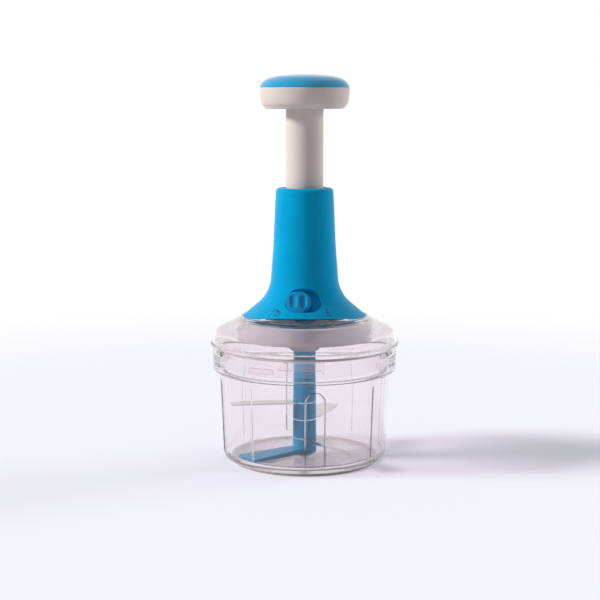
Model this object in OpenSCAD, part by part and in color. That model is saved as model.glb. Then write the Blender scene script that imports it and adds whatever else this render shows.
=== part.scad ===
// Plunger food chopper.
// A clear bowl holds a turning column with three blades and a scraper. The lid
// turns into catches in the bowl's rim band. Its handle holds a plunger that is
// pushed down by hand: a nut in the plunger's tube drives a twisted rod, and the
// rod spins the column through a one-way clutch. A spring lifts the plunger, and
// a slide in the handle holds it down for storage.
// Millimetres, +Z up. The origin is the centre of the foot, on the table, and
// the front of the object, with the lock slide, faces -Y.

/* [Bowl] */
// Height of the bowl from the table to its rim
bowl_h = 100; // [92:1:115]
// Outer radius of the wall at the corner above the foot
bowl_base_r = 69.6; // [67:0.1:71]
// Outer radius of the wall under the rim band
bowl_top_r = 72.4; // [71:0.1:74]
// Thickness of the wall
bowl_wall = 2.4; // [2:0.1:2.8]
// Thickness of the floor
floor_t = 3.8; // [3.4:0.1:5]
// Radius of the rounded corner between the floor and the wall, outside
bowl_corner_r = 7; // [5:0.1:8]
// Height of the rim band, from its underside to the rim
band_h = 21.5; // [20:0.5:26]
// How far the rim band stands out past the wall's top
band_over = 5.6; // [4.8:0.1:7]
// Thickness of the rim band
band_wall = 2.8; // [2.2:0.1:3]
// Radius of the rim band's lower corner
band_corner_r = 3; // [1.5:0.1:4]
// Width of a flute's flat floor
flute_w = 15.2; // [11:0.1:17]
// Depth of a flute in the outside of the wall
flute_d = 1.5; // [1:0.1:1.7]
// Thickness of the wall in a flute
flute_wall = 1.5; // [1.3:0.1:1.8]
// Gap between the top of a flute and the underside of the rim band
flute_top_gap = 6.3; // [4:0.1:14]
// Height of the ledge that a flute stands on
flute_ledge_z = 9; // [8:0.5:14]
// Width of a rib on the outside of the wall
rib_w = 2.6; // [1.8:0.1:3.4]
// How far a rib stands out of the wall
rib_out = 0.8; // [0.5:0.1:1.2]
// Azimuth of the first flute, from the front towards +X
flute_az = 7; // [-20:1:20]

/* [Foot and pivot] */
// Height of the foot ring under the floor
foot_h = 2.4; // [1.6:0.1:4]
// Width of the foot ring
foot_w = 6; // [5:0.5:9]
// Depth of the tongue of the foot ring in the floor
foot_tongue = 1.4; // [1:0.1:1.8]
// Radius of the pivot pin
pin_r = 2.5; // [2:0.1:3]
// Length of the pivot pin
pin_l = 16.5; // [13:0.5:18]
// Height of the boss that holds the pivot pin above the floor
boss_h = 2.2; // [1.5:0.1:3]
// Radius of the boss that holds the pivot pin
boss_r = 5.5; // [4.5:0.1:6]

/* [Blade column] */
// Radius of the column at its foot
col_base_r = 10.15; // [9.6:0.05:10.8]
// Radius of the column at its top
col_top_r = 9.45; // [9:0.05:10]
// Height of the column below the lower blade
col_base_h = 12.1; // [11:0.1:15]
// Thickness of a blade
blade_t = 1; // [0.6:0.1:1.4]
// Length of the column's sleeve between the lower and the middle blade
sleeve_lower_h = 15.3; // [12:0.1:18]
// Length of the column's sleeve between the middle and the upper blade
sleeve_upper_h = 13.9; // [11:0.1:17]
// Gap between a blade's tip and the wall at the lower blade
blade_tip_gap = 1.9; // [1.5:0.1:5]
// Width of a blade at the column, on each side of its line
blade_half_w = 9; // [7:0.1:9.3]
// How far a blade is swept forward at its tip
blade_sweep = 4.2; // [2:0.1:6]
// Belly of the ground edge of a blade
blade_belly = 1.6; // [0.5:0.1:3]
// Width of the ground bevel of a blade
bevel_w = 4; // [2.5:0.1:5]
// Width of the square core that carries the blades
core_w = 10; // [8:0.1:11]
// Length of the core inside the top section
core_grip = 12; // [8:0.5:16]
// Width of the square spigot at the column's top
spigot_w = 9.6; // [8:0.1:10]
// Height of the spigot
spigot_h = 9; // [7:0.1:10]
// Azimuth of the lower blade
lower_az = 35; // [0:1:90]
// Azimuth of the middle blade
middle_az = 155; // [120:1:200]
// Azimuth of the upper blade
upper_az = -85; // [-120:1:-60]
// Azimuth of the scraper arm
scraper_az = -58; // [-80:1:-30]
// Gap between the scraper's tip and the wall's inside at the floor
scraper_gap = 8.6; // [6:0.1:10]
// Width of the scraper at the column
scraper_root_w = 15; // [10:0.5:18]
// Width of the scraper at its tip
scraper_tip_w = 27; // [18:0.5:30]
// Height of the scraper at the column
scraper_root_h = 4.4; // [3.6:0.1:7]
// Height of the scraper at its tip
scraper_tip_h = 2; // [1.6:0.1:3.4]

/* [Lid] */
// Thickness of the lid's dome
lid_wall = 2.6; // [2:0.1:3]
// How far the lid's lip stands out past the rim band
lip_over = 2; // [1:0.1:3]
// Thickness of the lip
lip_t = 2.6; // [2:0.1:3.4]
// How far the dome's side stands back from the lip's edge
dome_inset = 0.5; // [0.3:0.1:2]
// Height of the dome's upright side above the lip
dome_side_h = 1.4; // [1:0.1:4]
// Radius of the dome's rounded shoulder
dome_corner_r = 11; // [8:0.5:13]
// Slope of the dome above its shoulder, in degrees
dome_slope = 27; // [22:1:30]
// Outer radius of the collar round the handle's hem
collar_r = 54.3; // [53.4:0.1:56]
// How far the collar stands above the dome at its sides
collar_rise = 1.1; // [0.6:0.1:3]
// Height of the collar's lip above the hem at its sides
collar_lip = 0.3; // [0.1:0.1:1.5]
// Width of the collar's wall
collar_wall = 1.7; // [1.4:0.1:1.7]
// Thickness of the flange inside the collar that carries the handle
flange_t = 2.4; // [2:0.1:3]
// Inner radius of the flange
flange_in_r = 42; // [41.8:0.1:43]
// Depth of the lid's skirt below its lip
skirt_h = 16; // [15:0.5:17]
// Thickness of the skirt
skirt_t = 2.4; // [2:0.1:3]
// Gap between the rim band and the skirt, which the seal and the catches fill
skirt_gap = 2.6; // [2.4:0.1:3.2]
// Height of a catch in the rim band
catch_h = 6; // [4:0.1:6.4]
// Length of a catch round the rim band
catch_l = 39; // [30:0.5:42]
// Length of the sloped lead-in at one end of a catch
catch_ramp = 5.5; // [3:0.5:8]
// Azimuth of the first catch
catch_az = -3; // [-20:1:20]
// Height of a lug on the skirt
lug_h = 4.2; // [3:0.1:4.4]
// Half the angle that a lug spans
lug_half = 8.5; // [6:0.5:9]
// Angle that the lid turns from its entry to its stop
lid_turn = 30; // [28:1:32]
// Height of the seal ring
seal_h = 2.6; // [2:0.1:2.8]

/* [Drive cover and clutch] */
// Outer radius of the drive cover under the dome
cover_r = 57; // [56:0.5:60]
// Wall of the drive cover
cover_wall = 2.4; // [2:0.1:3]
// Outer radius of the drive cover's hub
cover_hub_r = 13; // [12.9:0.1:14]
// Depth of the drive cover's edge below the handle's hem
cover_drop = 17.9; // [17.3:0.1:18.4]
// Radius of the hole in the hub's floor
cover_hole_r = 9.6; // [9.5:0.1:9.8]
// Depth of the hub under the drive cover's floor
cover_hub_h = 11.3; // [10.5:0.1:12]
// Radius of the drive hub's journal in the cover
hub_r = 10.62; // [10:0.01:10.7]
// Radius of the clutch halves
clutch_r = 13.4; // [12.8:0.1:15]
// Inner radius of the ring of clutch teeth
clutch_in_r = 9.6; // [9.2:0.1:10]
// Height of a clutch tooth
tooth_h = 2; // [1.5:0.1:2.1]
// Width of a clutch tooth at its root
tooth_w = 7.4; // [5:0.1:8]
// Thickness of a clutch half's plate
clutch_t = 1.9; // [1.6:0.1:2]

/* [Handle] */
// Outer radius of the handle's hem at its sides
hem_r = 52.5; // [51:0.1:52.8]
// Rise of the hem's front and back above its sides
hem_arch = 4.8; // [3:0.1:5.5]
// Slope of the handle's skirt above the hem, in degrees
skirt_slope = 40; // [38:1:43]
// Radius of the hollow flare above the skirt
flare_r = 32; // [29:0.5:34]
// Outer radius of the grip above the flare
waist_r = 28.3; // [27.5:0.1:29.5]
// Outer radius of the grip a third of the way up
grip_r = 26.4; // [26:0.1:28]
// Outer radius of the grip's top
neck_r = 24.2; // [23.8:0.1:26]
// Height of the handle from its hem to its top
handle_h = 108.6; // [104:0.5:118]
// Radius of the handle's top edge
neck_round = 3.5; // [2:0.1:4]
// Thickness of the handle's wall
shell_wall = 2.4; // [2:0.1:2.8]
// Thickness of the base plate in the handle's foot
plate_t = 2.8; // [2:0.1:3.2]
// Radius of the base plate
plate_r = 46; // [44:0.5:49]
// Distance of the housing screws from the axis
boss_pcd_r = 38; // [37.5:0.1:38.4]
// Distance of the cover screws from the axis
cover_screw_r = 24; // [21:0.5:32]
// Length of the guide bush
bush_l = 38.3; // [30:0.1:40]

/* [Plunger] */
// Stroke of the plunger
stroke = 62; // [50:1:62]
// Gap that is left under the knob when the plunger is down
knob_gap = 4; // [2:0.5:8]
// Outer radius of the plunger's tube
tube_r = 15.8; // [15.4:0.1:16]
// Wall of the tube
tube_wall = 2.4; // [2:0.1:2.6]
// How far the stop flange at the tube's foot stands out
stop_w = 1.6; // [1.2:0.1:1.7]
// Height of the stop flange
stop_h = 4; // [3:0.1:4.2]
// Outer radius of the knob
knob_r = 37.6; // [35:0.1:40]
// Radius of the knob's underside
knob_base_r = 34; // [33:0.1:36]
// Height of the knob's body
knob_h = 17.7; // [17:0.1:20]
// Radius of the knob's lower edge
knob_round = 2.2; // [1.5:0.1:4]
// Outer radius of the knob's cap
cap_r = 37.3; // [36:0.1:37.4]
// Height of the cap's crown above the knob's body
cap_h = 10.8; // [8:0.1:14]
// Thickness of the knob's walls
knob_wall = 2.4; // [2:0.1:2.8]

/* [Twisted rod, nut and spring] */
// Width of the twisted rod
rod_w = 9; // [7:0.1:10]
// Thickness of the twisted rod
rod_t = 3; // [2.5:0.1:3.5]
// Rise of the rod's twist in one turn
rod_lead = 40; // [32:1:60]
// Radius of the rod's journal
journal_r = 5; // [4.4:0.1:5.2]
// Radius of the shoulder above the journal
shoulder_r = 6.5; // [6:0.1:7]
// Width of the rod's square end
square_w = 7; // [6:0.1:7.5]
// Thickness of the drive nut
nut_h = 8; // [6:0.5:10]
// Mean radius of the return spring
spring_r = 9.2; // [9:0.1:9.6]
// Radius of the spring's wire
wire_r = 0.8; // [0.6:0.05:0.9]
// Turns of the return spring
spring_turns = 12; // [8:1:16]

/* [Lock slide] */
// Height of the slide's centre above the hem
slide_rise = 16.6; // [16.2:0.1:17.6]
// Offset of the slide's window to the side
slide_x = -1.2; // [-3:0.1:1]
// Width of the window
window_w = 30.6; // [28:0.1:31]
// Height of the window along the handle's slope
window_h = 22.6; // [21:0.1:23]
// Radius of the button
button_r = 10.9; // [9.8:0.1:10.9]
// Depth of the pocket that the button runs in
pocket_d = 6; // [5:0.1:6.2]
// How far the button stands out of the handle
button_out = 1; // [0.5:0.1:2]
// Thickness of the lock plate
lock_t = 3; // [2.4:0.1:3]
// Half the width of the lock plate
lock_half_w = 22.5; // [22:0.1:23]

/* [Screws and keys] */
// Radius of the shank of the cover and housing screws
screw_r = 1.5; // [1.3:0.05:1.6]
// Radius of the heads of the cover and housing screws
screw_head_r = 2.9; // [2.6:0.05:3]
// Length of the cover screws
cover_screw_l = 9; // [7:0.5:9.5]
// Length of the housing screws above the base plate's underside
housing_screw_l = 10.8; // [8:0.1:11.5]
// Distance of the knob screws from the axis
knob_screw_x = 11.2; // [10.8:0.1:11.3]
// Radius of the shank of the knob screws
knob_screw_r = 1.2; // [1:0.05:1.3]
// Length of the knob screws
knob_screw_l = 10.5; // [7:0.5:11]
// Width of the key that guides the plunger
key_w = 2.6; // [2:0.1:3]

/* [Fits] */
// Gap between parts that move past each other
run_gap = 0.3; // [0.25:0.01:0.35]
// Radial gap of a shaft in its bearing
shaft_gap = 0.08; // [0.04:0.01:0.1]
// Gap between parts that are seated on each other
seat_gap = 0.1; // [0.05:0.01:0.15]
// Gap between the lid's lip and the bowl's rim
rim_gap = 0.2; // [0.1:0.01:0.3]

/* [Hidden] */

$fn = 96;
quarter = [0, 90, 180, 270];
big = 200;
eps = 0.5;

// Levels and radii of the bowl
floor_z = foot_h + floor_t;
band_z = bowl_h - band_h;
band_r = bowl_top_r + band_over;
corner_z = foot_h + bowl_corner_r;
foot_r = bowl_base_r - bowl_corner_r;
band_in_r = band_r - band_wall;
wall_tilt = atan((bowl_top_r - bowl_base_r) / (band_z - corner_z));
flute_top_z = band_z - flute_top_gap;

// Levels of the blade column
col_z = floor_z + run_gap;
lower_z = col_z + col_base_h;
middle_z = lower_z + blade_t + sleeve_lower_h;
upper_z = middle_z + blade_t + sleeve_upper_h;
blade_r = min(bowl_r(lower_z), bowl_r(upper_z)) - bowl_wall - blade_tip_gap;
scraper_r = bowl_r(floor_z) - bowl_wall - scraper_gap;
pin_z = floor_z + boss_h - 4.8;

// Levels of the lid and of what hangs in it
lid_z = bowl_h + rim_gap;
lip_r = band_r + lip_over;
dome_r = lip_r - dome_inset;
dome_side_z = lid_z + lip_t + dome_side_h;
dome_edge_r = dome_r - dome_corner_r + dome_corner_r * sin(dome_slope);
dome_edge_z = dome_side_z + dome_corner_r * cos(dome_slope);
dome_in_t = lid_wall / cos(dome_slope);
skirt_r = band_in_r - skirt_gap;
skirt_in_r = skirt_r - skirt_t;
skirt_z = lid_z - skirt_h;
seal_z = lid_z - rim_gap - seal_h;
catch_z = seal_z - 0.7 - catch_h;
lug_z = catch_z - run_gap - lug_h;
lug_r = band_in_r - 0.5;
stop_az = catch_az + asin((catch_l / 2 - 1.5) / band_in_r);
lug_az = stop_az - 1 - lid_turn - lug_half;
collar_in_r = collar_r - collar_wall;
neck_inset = 0.2;
hem_z = dome_z(collar_r) + collar_rise;
arch_r = hem_r * hem_r / (2 * hem_arch);

// Levels of the drive, from the drive cover up
cover_z = hem_z - cover_drop;
cover_floor_z = cover_z + cover_wall;
hub_z = cover_z - cover_hub_h + 1.9;
col_top_z = cover_z - cover_hub_h - 0.4;
clutch_z = cover_floor_z + run_gap;
teeth_z = clutch_z + clutch_t;
upper_clutch_z = teeth_z + 2 * tooth_h + 0.35;
plate_top_z = hem_z - flange_t - seat_gap - seat_gap;
plate_z = plate_top_z - plate_t;
bush_top_z = plate_top_z + 8.8;
shoulder_z = bush_top_z + tooth_h + 0.6;
twist_z = shoulder_z + 1.5;
lock_z = plate_top_z + 8.8;

// Levels and radii of the handle and the plunger
handle_top_z = hem_z + handle_h;
flare_run = flare_r * (1 - cos(90 - skirt_slope));
flare_z = hem_z + (hem_r - waist_r - flare_run) * tan(skirt_slope);
flare_top_z = flare_z + flare_r * sin(90 - skirt_slope);
grip_z = flare_top_z + (handle_top_z - flare_top_z) / 3;
tube_in_r = tube_r - tube_wall;
stop_r = tube_r + stop_w;
guide_top_z = handle_top_z - shell_wall - seat_gap;
guide_z = guide_top_z - bush_l;
tube_z = guide_z - run_gap - stop_h;
knob_z = handle_top_z + stroke + knob_gap;
tube_top_z = knob_z + 11.8;
knob_top_z = knob_z + knob_h;
nut_top_z = handle_top_z + 12;
nut_z = nut_top_z - nut_h;
seat_z = nut_z - 1.8;
rod_top_z = tube_top_z - stroke - 1;

// Lock slide
slide_z = hem_z + slide_rise;
slide_tilt = asin((flare_top_z - slide_z) / flare_r);
slide_y = waist_r + flare_r * (1 - cos(slide_tilt));
slide_travel = window_w - 2 * button_r - 0.8;
button_x = slide_x - slide_travel / 2;
keyhole_r = stop_r + 0.4;
catch_r = tube_r + 0.3;
peg_y = lock_half_w + 3;

// Radius of the bowl's outer wall at a height
function bowl_r(z) = bowl_base_r
    + (bowl_top_r - bowl_base_r) * (z - corner_z) / (band_z - corner_z);

// Radius of the column at a height
function col_r(z) = col_base_r + (col_top_r - col_base_r) * (z - col_z) / (col_top_z - col_z);

// Height of the dome's outer cone at a radius
function dome_z(r) = dome_edge_z + (dome_edge_r - r) * tan(dome_slope);

// Points of an arc round (cx, cz) from angle a to angle b
function arc(cx, cz, r, a, b, n = 8) =
    [for (i = [0:n]) [cx + r * cos(a + (b - a) * i / n), cz + r * sin(a + (b - a) * i / n)]];

// Points of a slot with round ends
function slot_points(w, h, n = 12) = concat(
    arc((w - h) / 2, 0, h / 2, -90, 90, n),
    arc((h - w) / 2, 0, h / 2, 90, 270, n));

// Outline of the handle, moved inwards by a wall t, from the hem to the neck
function handle_line(t) = concat(
    [[hem_r - t / sin(skirt_slope) + 12, hem_z - 12 * tan(skirt_slope)]],
    arc(waist_r + flare_r, flare_top_z, flare_r + t, 270 - skirt_slope, 180, 9),
    [[grip_r - t, grip_z]]);

// Turns what faces the front to an azimuth
module at(az) {
    rotate([0, 0, az]) children();
}

module tube(r_out, r_in, z0, z1) {
    translate([0, 0, z0]) difference() {
        cylinder(h = z1 - z0, r = r_out);
        translate([0, 0, -1]) cylinder(h = z1 - z0 + 2, r = r_in);
    }
}

module square_bar(w, z0, z1) {
    translate([-w / 2, -w / 2, z0]) cube([w, w, z1 - z0]);
}

// Round bar with a domed top
module domed_bar(r, h, n = 6) {
    rotate_extrude() polygon(concat([[0, 0], [r, 0]], arc(0, h, r, 0, 90, n)));
}

// Space above the hem's curved seat, lowered by t
module above_hem(t = 0) {
    translate([0, 0, hem_z + arch_r]) rotate([0, 90, 0])
        cylinder(h = big, r = arch_r + t, center = true, $fn = 180);
}

// ---------------------------------------------------------------- bowl

module bowl_outside() {
    rotate_extrude() polygon(concat(
        [[0, foot_h]],
        arc(bowl_base_r - bowl_corner_r, corner_z, bowl_corner_r, -90, 0, 6),
        [[bowl_top_r, band_z]],
        arc(band_r - band_corner_r, band_z + band_corner_r, band_corner_r, -90, 0, 5),
        [[band_r, bowl_h - 0.6], [band_r - 0.6, bowl_h], [0, bowl_h]]));
}

module bowl_inside() {
    in_corner = bowl_corner_r - 1.8;
    wall_r = bowl_r(floor_z + in_corner) - bowl_wall;
    rotate_extrude() polygon(concat(
        [[0, floor_z]],
        arc(wall_r - in_corner, floor_z + in_corner, in_corner, -90, 0, 5),
        [[bowl_top_r - bowl_wall, band_z], [bowl_top_r - bowl_wall, band_z + bowl_wall],
         [band_in_r, band_z + bowl_wall], [band_in_r, bowl_h + 1], [0, bowl_h + 1]]));
}

// A hollow flute that leans with the wall: a flat floor, sloped sides and an arch
module flute(grow) {
    half = flute_w / 2 + 0.41 * grow;
    depth = flute_d + grow;
    out = 4;
    arch_z = flute_top_z - flute_w / 2 - flute_d;
    bar_h = (arch_z - flute_ledge_z) / cos(wall_tilt) + grow;
    translate([0, -bowl_r(arch_z), arch_z]) rotate([wall_tilt, 0, 0]) union() {
        translate([0, 0, -bar_h]) linear_extrude(bar_h) polygon([
            [-half, depth], [half, depth], [half + depth + out, -out], [-half - depth - out, -out]]);
        translate([0, depth, 0]) rotate([90, 0, 0])
            cylinder(h = depth + out, r1 = half, r2 = half + depth + out);
    }
}

module rib() {
    r = rib_w / 2;
    rib_z = corner_z + 2;
    translate([0, r - rib_out - bowl_r(rib_z), rib_z]) rotate([wall_tilt, 0, 0])
        domed_bar(r, (flute_top_z - rib_z) / cos(wall_tilt) - r);
}

// A ledge inside the rim band with a sloped lead-in and a stop below its far end
module catch() {
    half = catch_l / 2;
    stop_z = lug_z + 0.5;
    intersection() {
        tube(band_in_r + eps, band_in_r - 2.2, stop_z - 1, catch_z + catch_h);
        rotate([90, 0, 0]) linear_extrude(band_r) polygon([
            [-half, catch_z], [half - 1.5, catch_z], [half - 1.5, stop_z], [half, stop_z],
            [half, catch_z + catch_h], [catch_ramp - half, catch_z + catch_h]]);
    }
}

module bowl() {
    color([0.93, 0.92, 0.93, 0.4]) difference() {
        union() {
            difference() {
                bowl_outside();
                difference() {
                    bowl_inside();
                    for (a = quarter) at(flute_az + a) flute(flute_wall);
                }
                for (a = quarter) at(flute_az + a) flute(0);
            }
            for (a = quarter) at(flute_az + 45 + a) rib();
            for (a = quarter) at(catch_az + a) catch();
            translate([0, 0, floor_z - eps]) cylinder(h = boss_h + eps, r = boss_r);
        }
        translate([0, 0, pin_z]) cylinder(h = floor_z, r = pin_r + 0.02);
        tube(foot_r - foot_w / 3, foot_r - 2 * foot_w / 3, foot_h - 1, foot_h + foot_tongue + seat_gap);
    }
}

module foot_ring() {
    color([0.72, 0.68, 0.68]) difference() {
        union() {
            rotate_extrude() polygon([
                [foot_r - foot_w, foot_h], [foot_r - foot_w, 0.8], [foot_r - foot_w + 0.8, 0],
                [foot_r - 1.2, 0], [foot_r - 0.3, 0.9], [foot_r - 0.1, foot_h]]);
            tube(foot_r - foot_w / 3 - seat_gap, foot_r - 2 * foot_w / 3 + seat_gap,
                 foot_h - eps, foot_h + foot_tongue);
        }
    }
}

module pivot_pin() {
    color("silver") translate([0, 0, pin_z]) rotate_extrude() polygon([
        [0, 0], [pin_r, 0], [pin_r, pin_l - 0.8], [pin_r - 0.8, pin_l], [0, pin_l]]);
}

// -------------------------------------------------------- blade column

module column_part(z0, z1) {
    translate([0, 0, z0]) cylinder(h = z1 - z0, r1 = col_r(z0), r2 = col_r(z1));
}

module scraper_section(w, h) {
    translate([0, 0, col_z]) rotate([90, 0, 0]) linear_extrude(0.1) polygon([
        [-w / 2, -1], [-w / 2, h - 0.6], [0.6 - w / 2, h], [w / 2 - 0.6, h], [w / 2, h - 0.6],
        [w / 2, -1]]);
}

module scraper() {
    intersection() {
        at(scraper_az) hull() {
            translate([0, -2, 0]) scraper_section(scraper_root_w, scraper_root_h);
            translate([0, -scraper_r - 4, 0]) scraper_section(scraper_tip_w, scraper_tip_h);
        }
        translate([0, 0, col_z]) cylinder(h = col_base_h, r = scraper_r);
    }
}

module column_base() {
    color([0.0, 0.52, 0.76]) difference() {
        union() {
            column_part(col_z, lower_z);
            square_bar(core_w, lower_z - eps, upper_z + blade_t + core_grip);
            scraper();
        }
        translate([0, 0, col_z - 1]) cylinder(h = boss_h + 1.2, r = boss_r + run_gap);
        translate([0, 0, col_z - 1])
            cylinder(h = pin_z + pin_l + run_gap - col_z + 1, r = pin_r + shaft_gap);
    }
}

module sleeve(z, h) {
    color([0.0, 0.52, 0.76]) difference() {
        column_part(z, z + h);
        square_bar(core_w + 2 * seat_gap, z - 1, z + h + 1);
    }
}

module sleeve_lower() {
    sleeve(lower_z + blade_t, sleeve_lower_h);
}

module sleeve_upper() {
    sleeve(middle_z + blade_t, sleeve_upper_h);
}

module column_top() {
    z = upper_z + blade_t;
    color([0.0, 0.52, 0.76]) difference() {
        union() {
            column_part(z, col_top_z);
            square_bar(spigot_w, col_top_z - eps, col_top_z + spigot_h);
        }
        square_bar(core_w + 2 * seat_gap, z - 1, z + core_grip + run_gap);
    }
}

// Distance of the ground edge from the blade's line, at a share f of its length
function edge_v(f) = blade_sweep * f - blade_half_w - blade_belly * 4 * f * (1 - f);

// Flat strip with a bellied ground edge, swept forward, and an oblique tip
module blade_strip() {
    root = col_top_r - 1;
    edge = [for (i = [0:6]) [edge_v(i / 6), -root - (blade_r - root - 1) * i / 6]];
    linear_extrude(blade_t) polygon(concat(
        edge,
        [[blade_half_w + 0.7 * blade_sweep, 3 - blade_r], [blade_half_w, -root]]));
}

module blade(z, az) {
    edge_turn = atan(blade_sweep / blade_r);
    color([0.80, 0.81, 0.83]) translate([0, 0, z]) difference() {
        union() {
            cylinder(h = blade_t, r = col_r(z));
            at(az) difference() {
                blade_strip();
                translate([bevel_w - blade_half_w - blade_belly, -col_base_r - 2, blade_t])
                    rotate([0, 0, edge_turn]) rotate([0, -atan((blade_t - 0.15) / bevel_w), 0])
                        translate([-20, -blade_r, 0]) cube([20, blade_r, 5]);
            }
        }
        square_bar(core_w + 2 * seat_gap, -1, blade_t + 1);
    }
}

module blade_lower() {
    blade(lower_z, lower_az);
}

module blade_middle() {
    blade(middle_z, middle_az);
}

module blade_upper() {
    blade(upper_z, upper_az);
}

// ----------------------------------------------------------------- lid

module lid_seal() {
    r_in = skirt_r + seat_gap;
    r_out = band_in_r - seat_gap;
    color([0.85, 0.84, 0.84]) rotate_extrude() polygon([
        [r_in, seal_z], [r_out - 0.9, seal_z], [r_out, seal_z + 0.5], [r_out, seal_z + 0.9],
        [r_out - 0.6, seal_z + seal_h / 2], [r_out, seal_z + seal_h - 0.9],
        [r_out, seal_z + seal_h - 0.5], [r_out - 0.5, seal_z + seal_h], [r_in, seal_z + seal_h]]);
}

module dome() {
    in_r = dome_corner_r - lid_wall;
    rotate_extrude() polygon(concat(
        [[skirt_in_r, skirt_z + 0.6], [skirt_in_r + 0.6, skirt_z], [skirt_r - 0.6, skirt_z],
         [skirt_r, skirt_z + 0.6], [skirt_r, lid_z], [lip_r - 0.6, lid_z], [lip_r, lid_z + 0.6],
         [lip_r, lid_z + lip_t - 0.5], [lip_r - 0.5, lid_z + lip_t]],
        arc(dome_r - dome_corner_r, dome_side_z, dome_corner_r, 0, 90 - dome_slope, 8),
        [[collar_in_r, dome_z(collar_in_r)], [collar_in_r, dome_z(collar_in_r) - dome_in_t]],
        arc(dome_r - dome_corner_r, dome_side_z, in_r, 90 - dome_slope, 0, 8),
        [[dome_r - lid_wall, lid_z + lip_t], [skirt_in_r, lid_z + lip_t]]));
}

module lug() {
    at(-lug_half) rotate([0, 0, -90]) rotate_extrude(angle = 2 * lug_half)
        polygon([[skirt_r - eps, lug_z], [lug_r - 1, lug_z], [lug_r, lug_z + 1],
                 [lug_r, lug_z + lug_h], [skirt_r - eps, lug_z + lug_h]]);
}

// Clear neck that carries the hem: it goes on down the handle's slope to the dome
module lid_neck(collar_z) {
    difference() {
        intersection() {
            handle_solid(neck_inset, handle_top_z, 1);
            union() {
                difference() {
                    tube(collar_r - eps, flange_in_r, collar_z, collar_z + 12);
                    handle_solid(neck_inset + flange_t, handle_top_z, 1);
                }
                intersection() {
                    tube(collar_r - eps, flange_in_r, collar_z - 4, collar_z + 12);
                    above_hem(seat_gap + flange_t);
                }
            }
        }
        above_hem(seat_gap);
    }
}

module lid() {
    collar_z = dome_z(collar_in_r) - dome_in_t;
    color([0.93, 0.92, 0.93, 0.4]) union() {
        dome();
        tube(collar_r, collar_in_r, collar_z, hem_z + collar_lip);
        lid_neck(collar_z);
        for (a = quarter) at(lug_az + a) lug();
    }
}

// --------------------------------------------------------- drive cover

// Cross recess in a screw's head, about a height z
module cross_recess(z) {
    translate([0, 0, z]) cube([0.24 * screw_head_r, 1.2 * screw_head_r, 1.4], center = true);
    translate([0, 0, z]) cube([1.2 * screw_head_r, 0.24 * screw_head_r, 1.4], center = true);
}

module countersunk_hole(z, r, head_r, l) {
    translate([0, 0, z - eps]) cylinder(h = l + 2 * eps, r = r);
    translate([0, 0, z - 0.01]) cylinder(h = head_r - r, r1 = head_r, r2 = r);
}

module drive_cover() {
    seat_out_z = dome_z(cover_r) - dome_in_t - seat_gap;
    seat_in_z = dome_z(cover_r - cover_wall) - dome_in_t - seat_gap;
    color([0.80, 0.77, 0.80, 0.7]) difference() {
        rotate_extrude() polygon([
            [cover_hole_r, cover_z - cover_hub_h], [cover_hub_r - 2.2, cover_z - cover_hub_h],
            [cover_hub_r, cover_z - cover_hub_h + 3.5], [cover_hub_r, cover_z],
            [cover_r - 1, cover_z], [cover_r, cover_z + 1], [cover_r, seat_out_z],
            [cover_r - cover_wall, seat_in_z], [cover_r - cover_wall, cover_floor_z],
            [hub_r + shaft_gap, cover_floor_z], [hub_r + shaft_gap, hub_z - run_gap],
            [cover_hole_r, hub_z - run_gap]]);
        for (a = quarter) at(45 + a) translate([0, -cover_screw_r, 0])
            countersunk_hole(cover_z, screw_r + seat_gap, screw_head_r + 2 * seat_gap, cover_wall);
    }
}

module cover_screws() {
    color("silver") for (a = quarter) at(45 + a) translate([0, -cover_screw_r, cover_z])
        difference() {
            union() {
                cylinder(h = screw_head_r - screw_r, r1 = screw_head_r, r2 = screw_r);
                cylinder(h = cover_screw_l, r = screw_r);
            }
            cross_recess(0.5);
        }
}

// ---------------------------------------------------- base of the handle

// Channel that an edge of the lock plate runs in, from x0 to x1
module rail(x0, x1) {
    rail_in = lock_half_w - 1.9;
    rail_out = lock_half_w + run_gap + 2;
    translate([x0, 0, 0]) difference() {
        translate([0, rail_in, plate_top_z - eps])
            cube([x1 - x0, rail_out - rail_in, lock_z + lock_t + 1.7 - plate_top_z]);
        translate([-1, 0, lock_z - 0.2])
            cube([x1 - x0 + 2, lock_half_w + run_gap, lock_t + 0.4]);
    }
}

module base_plate() {
    tongue_gap = 4 + run_gap + 2;
    color([0.02, 0.55, 0.80]) difference() {
        union() {
            translate([0, 0, plate_z]) cylinder(h = plate_t, r = plate_r);
            translate([0, 0, plate_top_z - eps])
                cylinder(h = bush_top_z - plate_top_z + eps, r = 11);
            rail(-20, 20);
            mirror([0, 1, 0]) rail(-20, button_x - tongue_gap);
            mirror([0, 1, 0]) rail(button_x + slide_travel + tongue_gap, 20);
            for (a = quarter) at(45 + a) translate([0, -cover_screw_r, cover_floor_z + seat_gap])
                cylinder(h = plate_z - cover_floor_z, r = 3.6);
        }
        translate([0, 0, plate_z - 1]) cylinder(h = big, r = 8 + 0.02);
        for (a = quarter) at(45 + a) {
            translate([0, -cover_screw_r, cover_floor_z - 1]) cylinder(h = cover_screw_l, r = screw_r + 0.02);
            translate([0, -boss_pcd_r, plate_z - 1]) cylinder(h = plate_t + 2, r = screw_r + 2 * seat_gap);
        }
    }
}

module housing_screws() {
    color("silver") for (a = quarter) at(45 + a) translate([0, -boss_pcd_r, plate_z])
        difference() {
            union() {
                translate([0, 0, -2]) cylinder(h = 2, r = screw_head_r);
                translate([0, 0, -eps]) cylinder(h = housing_screw_l, r = screw_r);
            }
            cross_recess(-2);
        }
}

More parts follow.
